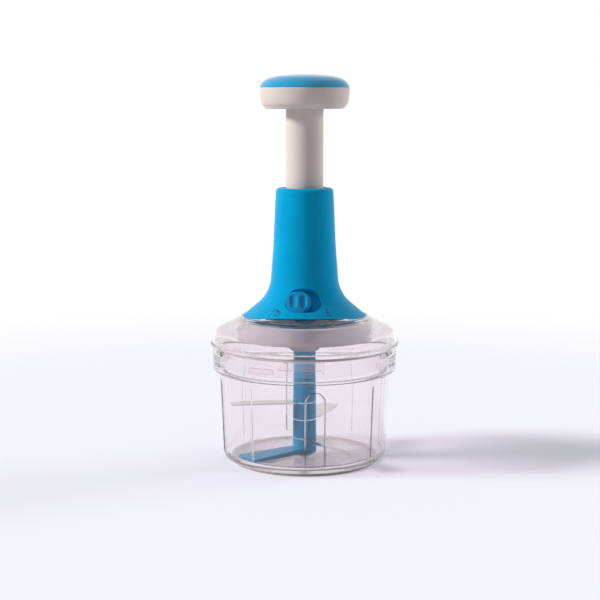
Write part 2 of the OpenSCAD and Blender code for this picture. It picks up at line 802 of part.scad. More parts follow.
module rod_bush() {
    color([0.82, 0.66, 0.36]) difference() {
        union() {
            translate([0, 0, plate_z]) cylinder(h = bush_top_z - plate_z, r = 8);
            translate([0, 0, plate_z - 1]) cylinder(h = 1, r = 9.4);
        }
        translate([0, 0, plate_z - 2]) cylinder(h = 30, r = journal_r + shaft_gap);
    }
}

// ------------------------------------------------------------ handle

module handle_solid(t, top_z, round_r) {
    rotate_extrude() polygon(concat(
        [[0, hem_z - 12 * tan(skirt_slope)]],
        handle_line(t),
        arc(neck_r - t - round_r, top_z - round_r, round_r, 0, 90, 5),
        [[0, top_z]]));
}

// Places what it holds on the handle's front, facing out of the slope
module on_slope(x) {
    translate([x, -slide_y, slide_z]) rotate([90 - slide_tilt, 0, 0]) children();
}

module window_prism(grow, z0, z1) {
    on_slope(slide_x) translate([0, 0, z0]) linear_extrude(z1 - z0)
        polygon(slot_points(window_w + 2 * grow, window_h + 2 * grow));
}

module handle_shell() {
    color([0.02, 0.55, 0.80]) difference() {
        intersection() {
            union() {
                difference() {
                    handle_solid(0, handle_top_z, neck_round);
                    handle_solid(shell_wall, handle_top_z - shell_wall, 1);
                }
                intersection() {
                    handle_solid(0.6, handle_top_z - 1, 1);
                    union() {
                        window_prism(2, -pocket_d - 2, 20);
                        for (a = quarter) at(45 + a) translate([0, -boss_pcd_r, plate_top_z + seat_gap])
                            cylinder(h = 20, r = 3.2);
                    }
                }
            }
            above_hem();
        }
        window_prism(0, -pocket_d, 30);
        on_slope(slide_x) translate([-slide_travel / 2 - 3, -3, -pocket_d - 4])
            cube([slide_travel + 6, 6, 5]);
        translate([0, 0, guide_top_z - 1]) cylinder(h = 20, r = tube_r + 1.2);
        for (a = quarter) at(45 + a) translate([0, -boss_pcd_r, plate_top_z - 1])
            cylinder(h = housing_screw_l, r = screw_r + 0.02);
    }
}

module guide_bush() {
    color([0.90, 0.89, 0.87]) union() {
        rotate_extrude() polygon([
            [tube_r + shaft_gap, guide_z], [tube_r + 3.6, guide_z], [tube_r + 4.2, guide_z + 0.6],
            [tube_r + 4.2, guide_top_z - 5], [neck_r - shell_wall - 0.5, guide_top_z - 4],
            [neck_r - shell_wall - 0.5, guide_top_z - 1], [neck_r - shell_wall - 1.5, guide_top_z],
            [tube_r + shaft_gap, guide_top_z]]);
        translate([-key_w / 2, tube_r - 0.9, guide_z]) cube([key_w, 2.5, bush_l]);
    }
}

// ----------------------------------------------------------- plunger

// Ring of points round one point of the spring's helix
function coil_ring(a, z, sides) = [for (j = [0:sides - 1])
    [(spring_r + wire_r * cos(360 * j / sides)) * cos(a),
     (spring_r + wire_r * cos(360 * j / sides)) * sin(a),
     z + wire_r * sin(360 * j / sides)]];

module return_spring() {
    sides = 6;
    steps = 18 * spring_turns;
    z0 = bush_top_z + wire_r + seat_gap;
    z1 = seat_z - wire_r - seat_gap;
    points = [for (i = [0:steps]) each coil_ring(i * 20, z0 + (z1 - z0) * i / steps, sides)];
    walls = [for (i = [0:steps - 1], j = [0:sides - 1])
        [i * sides + j, i * sides + (j + 1) % sides,
         (i + 1) * sides + (j + 1) % sides, (i + 1) * sides + j]];
    ends = [[for (j = [sides - 1:-1:0]) j], [for (j = [0:sides - 1]) steps * sides + j]];
    color("silver") polyhedron(points = points, faces = concat(walls, ends), convexity = 10);
}

module plunger_tube() {
    color([0.84, 0.82, 0.79]) difference() {
        union() {
            tube(tube_r, tube_in_r, tube_z, tube_top_z);
            rotate_extrude() polygon([
                [tube_in_r + 1, tube_z], [stop_r - 0.8, tube_z], [stop_r, tube_z + 0.8],
                [stop_r, tube_z + stop_h], [tube_in_r + 1, tube_z + stop_h]]);
            tube(tube_in_r + 1, rod_w / 2 + 2.5, nut_top_z + seat_gap, nut_top_z + 2.2);
            for (a = [90, 270]) at(a) intersection() {
                translate([0, -knob_screw_x, knob_z])
                    cylinder(h = tube_top_z - knob_z, r = knob_screw_r + 1.7);
                cylinder(h = big * 2, r = tube_r - 1);
            }
        }
        for (a = [90, 270]) at(a) {
            translate([-key_w / 2 - run_gap, -tube_in_r - 0.9, tube_z - 1])
                cube([key_w + 2 * run_gap, 3, nut_top_z + seat_gap - tube_z + 1]);
            translate([0, -knob_screw_x, tube_top_z - knob_screw_l])
                cylinder(h = knob_screw_l + 1, r = knob_screw_r + 0.02);
        }
        translate([-key_w / 2 - run_gap, tube_r - 1.2, tube_z + stop_h + 0.01])
            cube([key_w + 2 * run_gap, 3, knob_z - tube_z - stop_h - 3]);
    }
}

module spring_seat() {
    color("silver") tube(tube_in_r - 0.2, rod_w / 2 + 2, seat_z, nut_z - seat_gap);
}

// Outline of the rod's section: a flat bar with small chamfers
function rod_section(w, t, c = 0.5) = [
    [c - w / 2, -t / 2], [w / 2 - c, -t / 2], [w / 2, c - t / 2], [w / 2, t / 2 - c],
    [w / 2 - c, t / 2], [c - w / 2, t / 2], [-w / 2, t / 2 - c], [-w / 2, c - t / 2]];

// A bar of the rod's section, turned to match the rod between two heights. The
// points along its flats keep the twisted faces true.
module twisted_bar(w, t, z0, z1) {
    translate([0, 0, z0]) rotate([0, 0, -360 * (z0 - twist_z) / rod_lead])
        linear_extrude(height = z1 - z0, twist = 360 * (z1 - z0) / rod_lead,
                       slices = ceil((z1 - z0) / 1.6), segments = 20)
            polygon(rod_section(w, t));
}

module drive_nut() {
    color([0.93, 0.93, 0.90]) difference() {
        union() {
            translate([0, 0, nut_z]) cylinder(h = nut_h, r = tube_in_r - seat_gap);
            for (a = [90, 270]) at(a) translate([-key_w / 2, -tube_in_r - 0.7, nut_z])
                cube([key_w, 4, nut_h]);
        }
        twisted_bar(rod_w + 0.6, rod_t + 0.6, nut_z - 1, nut_top_z + 1);
    }
}

module knob_shell() {
    sleeve_r = tube_r + knob_wall + seat_gap;
    side = [for (i = [0:8]) let (f = i / 8)
        [knob_base_r + (knob_r - knob_base_r) * sin(90 * f),
         knob_z + knob_round + (knob_h - knob_round - 0.8) * f * f]];
    color([0.84, 0.82, 0.79]) difference() {
        union() {
            rotate_extrude() polygon(concat(
                [[tube_r + seat_gap, knob_z]],
                arc(knob_base_r - knob_round, knob_z + knob_round, knob_round, -90, -30, 4),
                side,
                [[knob_r - 0.6, knob_top_z], [knob_r - knob_wall, knob_top_z],
                 [knob_r - knob_wall, knob_z + knob_h / 2],
                 [knob_base_r - knob_wall, knob_z + knob_wall + 2],
                 [knob_base_r - knob_wall - 2, knob_z + knob_wall],
                 [sleeve_r, knob_z + knob_wall], [sleeve_r, tube_top_z + knob_wall],
                 [0, tube_top_z + knob_wall], [0, tube_top_z + seat_gap],
                 [tube_r + seat_gap, tube_top_z + seat_gap]]));
            for (i = [0:5]) rotate([0, 0, 30 + 60 * i])
                translate([sleeve_r - eps, -0.8, knob_z + knob_wall - eps])
                    cube([knob_base_r - knob_wall - sleeve_r, 1.6, 7]);
        }
        for (a = [90, 270]) at(a) translate([0, -knob_screw_x, tube_top_z - 1])
            cylinder(h = 10, r = knob_screw_r + 4 * seat_gap);
    }
}

module knob_screws() {
    color("silver") for (a = [90, 270]) at(a)
        translate([0, -knob_screw_x, tube_top_z + knob_wall]) difference() {
            union() {
                cylinder(h = 1.8, r = screw_head_r - 0.2);
                translate([0, 0, -knob_screw_l]) cylinder(h = knob_screw_l + eps, r = knob_screw_r);
            }
            cross_recess(1.8);
        }
}

module knob_cap() {
    plug_r = knob_r - knob_wall - seat_gap;
    crown = [for (i = [0:8]) let (f = i / 8)
        [cap_r * cos(90 * f), knob_top_z + 1.2 + (cap_h - 1.2) * sin(90 * f)]];
    inner = [for (i = [8:-1:0]) let (f = i / 8)
        [(cap_r - 4) * cos(90 * f), knob_top_z + (cap_h - 2.4) * sin(90 * f)]];
    color([0.02, 0.55, 0.80]) rotate_extrude() polygon(concat(
        [[plug_r - 2, knob_top_z - 5], [plug_r, knob_top_z - 5], [plug_r, knob_top_z + seat_gap],
         [cap_r, knob_top_z + seat_gap]],
        crown,
        inner));
}

// -------------------------------------------------- rod, clutch and hub

module drive_rod() {
    journal_z = upper_clutch_z + clutch_t;
    color("silver") union() {
        square_bar(square_w, teeth_z + 0.4, journal_z + eps);
        translate([0, 0, journal_z]) cylinder(h = shoulder_z + eps - journal_z, r = journal_r);
        translate([0, 0, shoulder_z]) cylinder(h = twist_z - shoulder_z, r = shoulder_r);
        twisted_bar(rod_w, rod_t, twist_z - 0.8, rod_top_z);
    }
}

// Ring of saw teeth that point up or down, by side = 1 or -1. Each tooth has one
// upright face, along a radius, and one slope.
module saw_teeth(side) {
    land = 1.2;
    intersection() {
        tube(clutch_r, clutch_in_r, side > 0 ? 0 : -tooth_h, side > 0 ? tooth_h : 0);
        for (i = [0:5]) rotate([0, 0, 60 * i]) rotate([90, 0, 0])
            linear_extrude(clutch_r + 1) polygon([
                [0, -side], [side * tooth_w, -side], [side * tooth_w, 0],
                [side * land, side * tooth_h], [0, side * tooth_h]]);
    }
}

module clutch_upper() {
    color([0.93, 0.93, 0.90]) difference() {
        union() {
            translate([0, 0, upper_clutch_z]) cylinder(h = clutch_t, r = clutch_r);
            translate([0, 0, upper_clutch_z]) saw_teeth(-1);
        }
        square_bar(square_w + seat_gap, upper_clutch_z - 5, upper_clutch_z + clutch_t + 1);
    }
}

module drive_hub() {
    color([0.93, 0.93, 0.90]) difference() {
        union() {
            translate([0, 0, hub_z]) cylinder(h = clutch_z - hub_z + eps, r = hub_r);
            translate([0, 0, clutch_z]) cylinder(h = clutch_t, r = clutch_r);
            translate([0, 0, teeth_z]) saw_teeth(1);
        }
        square_bar(spigot_w + 0.5, hub_z - 1, col_top_z + spigot_h + 2);
    }
}

// -------------------------------------------------------- lock slide

module lock_plate() {
    x0 = -slide_travel - catch_r - 3;
    x1 = keyhole_r + 3;
    color([0.93, 0.93, 0.90]) translate([0, 0, lock_z]) difference() {
        union() {
            translate([x0, -lock_half_w, 0]) cube([x1 - x0, 2 * lock_half_w, lock_t]);
            translate([button_x - 4, -peg_y - 3.2, 0]) cube([8, 8, lock_t]);
        }
        translate([0, 0, -1]) cylinder(h = lock_t + 2, r = keyhole_r);
        translate([-slide_travel, 0, -1]) cylinder(h = lock_t + 2, r = catch_r);
        translate([-slide_travel, -catch_r, -1]) cube([slide_travel, 2 * catch_r, lock_t + 2]);
        translate([button_x - 1.6, -peg_y - 1.6, -1]) cube([3.2, 3.2, lock_t + 2]);
    }
}

module lock_button() {
    stem_l = (slide_y - peg_y) / cos(slide_tilt) + 0.6;
    color([0.03, 0.50, 0.76]) union() {
        on_slope(button_x) difference() {
            intersection() {
                translate([0, 0, run_gap - pocket_d])
                    cylinder(h = pocket_d + button_out - run_gap, r = button_r);
                translate([0, 0, button_out - 40]) sphere(r = 40);
            }
            for (s = [-1, 1]) translate([s * 4.6, 0, button_out + 2.6]) rotate([90, 0, 0])
                cylinder(h = 3 * button_r, r = 4.4, center = true);
        }
        difference() {
            on_slope(button_x) translate([-2.5, -2.5, -stem_l])
                cube([5, 5, stem_l - pocket_d + 1]);
            translate([button_x - 10, -big / 2, lock_z - 10])
                cube([20, big / 2, 10 + lock_t + run_gap]);
        }
        translate([button_x - 1.5, -peg_y - 1.5, lock_z]) cube([3, 3, lock_t + 3]);
    }
}

bowl();
foot_ring();
pivot_pin();
column_base();
blade_lower();
sleeve_lower();
blade_middle();
sleeve_upper();
blade_upper();
column_top();
lid_seal();
lid();
drive_cover();
cover_screws();
base_plate();
housing_screws();
rod_bush();
handle_shell();
guide_bush();
return_spring();
plunger_tube();
spring_seat();
drive_nut();
knob_shell();
knob_screws();
knob_cap();
drive_rod();
clutch_upper();
drive_hub();
lock_plate();
lock_button();
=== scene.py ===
"""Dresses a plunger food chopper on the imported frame.

A clear bowl carries a blue blade column with three steel blades and a scraper. A clear
lid carries the blue handle, in which a grey plunger with a round knob slides, and a
button in a window on the handle's flare locks it down. Sizes are millimetres until a
mesh is made, and azimuths run from the front, -Y, towards +X.
"""

import logging
import math
from dataclasses import dataclass, field
from enum import Enum
from typing import Callable, Optional, Sequence

import bmesh
import bpy
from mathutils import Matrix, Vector


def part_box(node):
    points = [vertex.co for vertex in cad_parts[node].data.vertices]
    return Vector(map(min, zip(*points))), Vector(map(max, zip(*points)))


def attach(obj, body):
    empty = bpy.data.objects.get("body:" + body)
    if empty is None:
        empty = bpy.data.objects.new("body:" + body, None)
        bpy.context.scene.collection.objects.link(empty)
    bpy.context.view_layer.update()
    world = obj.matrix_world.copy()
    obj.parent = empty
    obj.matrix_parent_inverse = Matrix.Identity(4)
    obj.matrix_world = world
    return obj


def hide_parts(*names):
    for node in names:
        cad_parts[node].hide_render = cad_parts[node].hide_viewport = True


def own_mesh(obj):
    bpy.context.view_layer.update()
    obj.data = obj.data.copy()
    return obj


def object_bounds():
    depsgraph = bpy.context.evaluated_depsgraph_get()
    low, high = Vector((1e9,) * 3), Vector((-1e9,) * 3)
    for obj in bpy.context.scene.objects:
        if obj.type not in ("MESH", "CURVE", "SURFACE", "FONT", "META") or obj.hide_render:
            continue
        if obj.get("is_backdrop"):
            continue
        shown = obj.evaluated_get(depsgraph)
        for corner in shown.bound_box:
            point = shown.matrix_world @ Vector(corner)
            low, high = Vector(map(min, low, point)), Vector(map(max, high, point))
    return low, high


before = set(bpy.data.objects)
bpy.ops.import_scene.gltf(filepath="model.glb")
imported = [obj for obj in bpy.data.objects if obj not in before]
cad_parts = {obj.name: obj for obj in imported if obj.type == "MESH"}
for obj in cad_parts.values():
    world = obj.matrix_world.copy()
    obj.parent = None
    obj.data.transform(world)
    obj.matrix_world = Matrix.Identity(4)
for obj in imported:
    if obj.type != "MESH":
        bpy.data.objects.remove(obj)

MM = 0.001
LOG = logging.getLogger("chopper")
Point = tuple[float, float]
Section = list[Point]
Polar = tuple[float, float, float]


class Body(Enum):
    """The rigid bodies that the pieces ride on."""

    BOWL = "bowl"
    BLADES = "blade_unit"
    SEAL = "seal"
    LID = "lid"
    PLUNGER = "plunger"
    ROD = "drive_rod"
    LOCK = "lock"


class Slot(Enum):
    """The record's material slots."""

    CLEAR = "clear_plastic"
    COVER = "cover_plastic"
    FOOT = "foot_rubber"
    SEAL = "seal_rubber"
    BLUE = "blue_plastic"
    BUTTON = "button_plastic"
    GREY = "grey_plastic"
    BLADE = "blade_steel"
    STEEL = "bright_steel"


# ------------------------------------------------------------------ small tools


def low(node: str) -> Vector:
    """Lowest corner of a CAD node in millimetres."""
    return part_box(node)[0] / MM


def high(node: str) -> Vector:
    """Highest corner of a CAD node in millimetres."""
    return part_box(node)[1] / MM


def linear(hex_colour: str) -> tuple[float, float, float, float]:
    """Turns an sRGB hex colour into a linear colour.

    Args:
        hex_colour: Six hex digits, with or without a leading hash.

    Returns:
        The linear red, green and blue, with an alpha of 1.
    """
    digits = hex_colour.lstrip("#")
    parts = [int(digits[i:i + 2], 16) / 255 for i in (0, 2, 4)]
    done = [c / 12.92 if c <= 0.04045 else ((c + 0.055) / 1.055) ** 2.4 for c in parts]
    return done[0], done[1], done[2], 1.0


def add_node(tree: bpy.types.NodeTree, kind: str, settings: Optional[dict] = None,
             values: Optional[dict] = None, links: Optional[dict] = None) -> bpy.types.Node:
    """Adds one node with its settings, its input values and its links.

    Args:
        tree: The node tree.
        kind: The node's type name.
        settings: Attribute name to value.
        values: Input name or index to value.
        links: Input name or index to the output socket that feeds it.

    Returns:
        The new node.
    """
    node = tree.nodes.new(kind)
    for name, value in (settings or {}).items():
        setattr(node, name, value)
    for key, value in (values or {}).items():
        node.inputs[key].default_value = value
    for key, source in (links or {}).items():
        tree.links.new(source, node.inputs[key])
    return node


def arc(cx: float, cz: float, r: float, start: float, end: float, steps: int = 6) -> Section:
    """Points of an arc round a centre, angles in degrees."""
    angles = [math.radians(start + (end - start) * i / steps) for i in range(steps + 1)]
    return [(cx + r * math.cos(a), cz + r * math.sin(a)) for a in angles]


def fillet(corners: Sequence[Polar], closed: bool = True) -> Section:
    """Rounds the corners of a profile.

    Args:
        corners: Points as (r, z, corner radius).
        closed: Whether the last point joins the first.

    Returns:
        The profile's points, with an arc at every corner whose radius is over zero.
    """
    out: Section = []
    n = len(corners)
    for i, (x, z, radius) in enumerate(corners):
        if radius <= 0 or (not closed and i in (0, n - 1)):
            out.append((x, z))
            continue
        here = Vector((x, z))
        back = Vector(corners[i - 1][:2]) - here
        on = Vector(corners[(i + 1) % n][:2]) - here
        half = back.angle(on) / 2
        reach = min(radius / math.tan(half), back.length * 0.49, on.length * 0.49)
        start, end = here + back.normalized() * reach, here + on.normalized() * reach
        steps = max(2, min(8, int(math.degrees(math.pi - 2 * half) / 12)))
        for k in range(steps + 1):
            t = k / steps
            p = start * (1 - t) ** 2 + here * 2 * t * (1 - t) + end * t ** 2
            out.append((p.x, p.y))
    return out


def even_azimuths(count: int) -> list[float]:
    """Azimuths of evenly spaced sections, in degrees."""
    return [360 * i / count for i in range(count)]


def make_mesh(name: str, verts: Sequence[Sequence[float]], faces: Sequence[Sequence[int]],
              sharp: float = 32.0) -> bpy.types.Object:
    """Makes a smooth mesh object from millimetre points, with sharp edges by angle.

    Args:
        name: The piece's name.
        verts: Points in millimetres.
        faces: Faces as lists of point numbers.
        sharp: Angle in degrees over which an edge stays sharp.

    Returns:
        The object, linked to the scene.
    """
    mesh = bpy.data.meshes.new(name)
    mesh.from_pydata([[c * MM for c in v] for v in verts], [], faces)
    work = bmesh.new()
    work.from_mesh(mesh)
    bmesh.ops.remove_doubles(work, verts=work.verts, dist=0.002 * MM)
    bmesh.ops.recalc_face_normals(work, faces=work.faces)
    work.to_mesh(mesh)
    work.free()
    mesh.shade_smooth()
    mesh.set_sharp_from_angle(angle=math.radians(sharp))
    piece = bpy.data.objects.new(name, mesh)
    bpy.context.scene.collection.objects.link(piece)
    return piece


def place(az: float, r: float, z: float, side: float = 0.0) -> tuple[float, float, float]:
    """Point at an azimuth, a radius and a height, moved sideways along the tangent."""
    a = math.radians(az)
    return (r * math.sin(a) + side * math.cos(a), -r * math.cos(a) + side * math.sin(a), z)


def lathe(name: str, section: Callable[[float], Section], azimuths: Sequence[float],
          whole: bool = True, sharp: float = 32.0) -> bpy.types.Object:
    """Sweeps a closed section round the axis.

    Args:
        name: The piece's name.
        section: Gives the closed section's (r, z) points at an azimuth.
        azimuths: Where the sections stand, in degrees.
        whole: Whether the sweep closes on itself. If not, its ends get caps.
        sharp: Angle in degrees over which an edge stays sharp.

    Returns:
        The new piece.
    """
    rings = [section(az) for az in azimuths]
    count = len(rings[0])
    verts = [place(az, max(r, 0.0), z) for az, ring in zip(azimuths, rings) for r, z in ring]
    faces: list[list[int]] = []
    turns = len(rings) if whole else len(rings) - 1
    for i in range(turns):
        a, b = i * count, (i + 1) % len(rings) * count
        for j in range(count):
            k = (j + 1) % count
            faces.append([a + j, a + k, b + k, b + j])
    if not whole:
        faces.append(list(range(count)))
        faces.append([turns * count + j for j in range(count)][::-1])
    return make_mesh(name, verts, faces, sharp)


def turned(name: str, corners: Sequence[Polar], steps: int = 160, sharp: float = 32.0) -> bpy.types.Object:
    """A turned piece from a closed profile with rounded corners."""
    profile = fillet(corners)
    return lathe(name, lambda az: profile, even_azimuths(steps), sharp=sharp)


def loft(name: str, rings: Sequence[Sequence[Sequence[float]]], sharp: float = 32.0) -> bpy.types.Object:
    """Joins rings of points, in millimetres, into a closed piece with flat ends.

    Args:
        name: The piece's name.
        rings: Rings of points in millimetres, each as long as the next.
        sharp: Angle in degrees over which an edge stays sharp.

    Returns:
        The closed piece.
    """
    count = len(rings[0])
    verts = [p for ring in rings for p in ring]
    faces = [[i * count + j, i * count + (j + 1) % count,
              (i + 1) * count + (j + 1) % count, (i + 1) * count + j]
             for i in range(len(rings) - 1) for j in range(count)]
    last = (len(rings) - 1) * count
    faces.append(list(range(count))[::-1])
    faces.append([last + j for j in range(count)])
    return make_mesh(name, verts, faces, sharp)


def joined(name: str, parts: Sequence[bpy.types.Object]) -> bpy.types.Object:
    """Joins separate closed meshes into one piece.

    Args:
        name: The piece's name.
        parts: The closed meshes.

    Returns:
        The one piece.
    """
    work = bmesh.new()
    for part in parts:
        work.from_mesh(part.data)
        bpy.data.objects.remove(part)
    mesh = bpy.data.meshes.new(name)
    work.to_mesh(mesh)
    work.free()
    piece = bpy.data.objects.new(name, mesh)
    bpy.context.scene.collection.objects.link(piece)
    return piece


def baked(piece: bpy.types.Object) -> bpy.types.Mesh:
    """Gives a piece the mesh that its modifiers make, and removes them.

    Args:
        piece: The piece.

    Returns:
        The plain mesh.
    """
    bpy.context.view_layer.update()
    mesh = bpy.data.meshes.new_from_object(piece.evaluated_get(bpy.context.evaluated_depsgraph_get()))
    piece.modifiers.clear()
    piece.data = mesh
    return mesh


def cut(piece: bpy.types.Object, tool: bpy.types.Object, sharp: float = 32.0) -> None:
    """Cuts a closed tool out of a piece, and removes the tool.

    Args:
        piece: The piece.
        tool: The closed cutter.
        sharp: Angle in degrees over which an edge stays sharp.
    """
    difference = piece.modifiers.new("cut", "BOOLEAN")
    difference.operation = "DIFFERENCE"
    difference.solver = "EXACT"
    difference.object = tool
    mesh = baked(piece)
    bpy.data.objects.remove(tool)
    mesh.shade_smooth()
    mesh.set_sharp_from_angle(angle=math.radians(sharp))


def bevelled(piece: bpy.types.Object, width: float, segments: int = 2, angle: float = 35.0) -> bpy.types.Object:
    """Rounds the sharp edges of a piece by a width in millimetres.

    Args:
        piece: The piece.
        width: The rounding in millimetres.
        segments: Steps across a rounding.
        angle: Angle in degrees over which an edge is rounded.

    Returns:
        The same piece.
    """
    bevel = piece.modifiers.new("edges", "BEVEL")
    bevel.width = width * MM
    bevel.segments = segments
    bevel.limit_method = "ANGLE"
    bevel.angle_limit = math.radians(angle)
    mesh = baked(piece)
    mesh.shade_smooth()
    mesh.set_sharp_from_angle(angle=math.radians(angle))
    return piece


def fit(piece: bpy.types.Object, body: Body, slot: Slot, finish: bpy.types.Material,
        nodes: Sequence[str] = ()) -> bpy.types.Object:
    """Gives a piece its finish, its body and the nodes that it stands for.

    Args:
        piece: The piece.
        body: The body that carries it.
        slot: The record's slot of its finish; not used.
        finish: Its material.
        nodes: The CAD nodes that it stands for.

    Returns:
        The same piece.
    """
    if not piece.data.materials:
        piece.data.materials.append(finish)
    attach(piece, body.value)
    if nodes:
        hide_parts(*nodes)
    LOG.info("%s: %d faces on %s", piece.name, len(piece.data.polygons), body.value)
    return piece


def dress(node: str, finish: bpy.types.Material) -> None:
    """Gives a CAD node that stays in view its finish.

    Args:
        node: The CAD node.
        finish: Its material.
    """
    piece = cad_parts[node]
    for holder in piece.material_slots:
        holder.material = finish
    if not piece.material_slots:
        piece.data.materials.append(finish)
    LOG.info("%s: CAD node in %s", node, finish.name)


# ----------------------------------------------------------------- repeat trees


def add_inputs(tree: bpy.types.NodeTree, sizes: dict[str, str]) -> bpy.types.Node:
    """Adds a geometry input and output, and named inputs, to a geometry tree.

    Args:
        tree: The geometry node tree.
        sizes: Input name to socket type.

    Returns:
        The group input node.
    """
    tree.interface.new_socket("Geometry", in_out="INPUT", socket_type="NodeSocketGeometry")
    for name, kind in sizes.items():
        tree.interface.new_socket(name, in_out="INPUT", socket_type=kind)
    tree.interface.new_socket("Geometry", in_out="OUTPUT", socket_type="NodeSocketGeometry")
    return add_node(tree, "NodeGroupInput")


def end_tree(tree: bpy.types.NodeTree, made: bpy.types.NodeSocket, finish: bpy.types.NodeSocket) -> None:
    """Ends a geometry tree in real meshes with their finish.

    Args:
        tree: The node tree.
        made: The socket of the geometry.
        finish: The socket of the material.
    """
    real = add_node(tree, "GeometryNodeRealizeInstances", links={0: made})
    clad = add_node(tree, "GeometryNodeSetMaterial", links={"Geometry": real.outputs[0], "Material": finish})
    add_node(tree, "NodeGroupOutput", links={0: clad.outputs[0]})


def ring_tree() -> bpy.types.NodeTree:
    """Tree that repeats a piece round the axis, a fixed angle apart.

    Returns:
        The tree.
    """
    tree = bpy.data.node_groups.new("repeat_round_axis", "GeometryNodeTree")
    given = add_inputs(tree, {"Count": "NodeSocketInt", "First angle": "NodeSocketFloat",
                              "Step angle": "NodeSocketFloat", "Finish": "NodeSocketMaterial"})
    points = add_node(tree, "GeometryNodePoints", links={"Count": given.outputs["Count"]})
    index = add_node(tree, "GeometryNodeInputIndex")
    turn = add_node(tree, "ShaderNodeMath", {"operation": "MULTIPLY_ADD"}, links={
        0: index.outputs[0], 1: given.outputs["Step angle"], 2: given.outputs["First angle"]})
    angle = add_node(tree, "ShaderNodeCombineXYZ", links={"Z": turn.outputs[0]})
    copies = add_node(tree, "GeometryNodeInstanceOnPoints", links={
        "Points": points.outputs[0], "Instance": given.outputs["Geometry"],
        "Rotation": angle.outputs[0]})
    end_tree(tree, copies.outputs[0], given.outputs["Finish"])
    return tree


def coil_tree() -> bpy.types.NodeTree:
    """Tree that winds a wire into a coil along the axis.

    Returns:
        The tree.
    """
    tree = bpy.data.node_groups.new("wound_coil", "GeometryNodeTree")
    given = add_inputs(tree, {"Turns": "NodeSocketFloat", "Coil radius": "NodeSocketFloat",
                              "Length": "NodeSocketFloat", "Foot": "NodeSocketFloat",
                              "Wire radius": "NodeSocketFloat", "Finish": "NodeSocketMaterial"})
    helix = add_node(tree, "GeometryNodeCurveSpiral", values={"Resolution": 28}, links={
        "Rotations": given.outputs["Turns"], "Start Radius": given.outputs["Coil radius"],
        "End Radius": given.outputs["Coil radius"], "Height": given.outputs["Length"]})
    foot = add_node(tree, "ShaderNodeCombineXYZ", links={"Z": given.outputs["Foot"]})
    moved = add_node(tree, "GeometryNodeTransform", links={
        "Geometry": helix.outputs[0], "Translation": foot.outputs[0]})
    wire = add_node(tree, "GeometryNodeCurvePrimitiveCircle", values={"Resolution": 10},
                    links={"Radius": given.outputs["Wire radius"]})
    swept = add_node(tree, "GeometryNodeCurveToMesh", values={"Fill Caps": True}, links={
        "Curve": moved.outputs[0], "Profile Curve": wire.outputs[0]})
    smooth = add_node(tree, "GeometryNodeSetShadeSmooth", links={0: swept.outputs[0]})
    end_tree(tree, smooth.outputs[0], given.outputs["Finish"])
    return tree


def run_tree(piece: bpy.types.Object, tree: bpy.types.NodeTree, sizes: dict[str, object]) -> bpy.types.Object:
    """Runs a geometry tree on a piece and keeps the plain mesh.

    Args:
        piece: The object that carries the tree's input mesh.
        tree: The geometry node tree.
        sizes: Input name to value.

    Returns:
        The same object with its new mesh.
    """
    modifier = piece.modifiers.new("repeat", "NODES")
    modifier.node_group = tree
    for item in tree.interface.items_tree:
        if item.in_out == "INPUT" and item.name in sizes:
            modifier[item.identifier] = sizes[item.name]
    piece.update_tag()
    baked(piece)
    return piece


def empty_piece(name: str) -> bpy.types.Object:
    """An object with an empty mesh, for a tree that makes all of it.

    Args:
        name: The piece's name.

    Returns:
        The object, linked to the scene.
    """
    piece = bpy.data.objects.new(name, bpy.data.meshes.new(name))
    bpy.context.scene.collection.objects.link(piece)
    return piece


# -------------------------------------------------------------------- finishes


def mottle(tree: bpy.types.NodeTree, size_mm: float, detail: float = 2.0) -> bpy.types.NodeSocket:
    """Soft noise on object coordinates, with patches of a size in millimetres.

    Args:
        tree: The node tree.
        size_mm: Size of a patch in millimetres.
        detail: Octaves of the noise.

    Returns:
        The noise's socket.
    """
    where = add_node(tree, "ShaderNodeTexCoord")
    noise = add_node(tree, "ShaderNodeTexNoise", values={"Scale": 1000 / size_mm, "Detail": detail},
                     links={"Vector": where.outputs["Object"]})
    return noise.outputs["Fac"]


def spread(tree: bpy.types.NodeTree, source: bpy.types.NodeSocket, start: float, end: float) -> bpy.types.NodeSocket:
    """Maps noise from its usual 0.3 to 0.7 onto a range.

    Args:
        tree: The node tree.
        source: The socket of the noise.
        start: Value where the noise is low.
        end: Value where the noise is high.

    Returns:
        The socket of the mapped value.
    """
    mapped = add_node(tree, "ShaderNodeMapRange", values={
        "From Min": 0.3, "From Max": 0.7, "To Min": start, "To Max": end}, links={"Value": source})
    return mapped.outputs[0]


def blank(name: str) -> tuple[bpy.types.Material, bpy.types.NodeTree]:
    """A new material with an empty node tree.

    Args:
        name: The material's name.

    Returns:
        The material and its tree.
    """
    material = bpy.data.materials.new(name)
    material.use_nodes = True
    material.node_tree.nodes.clear()
    return material, material.node_tree


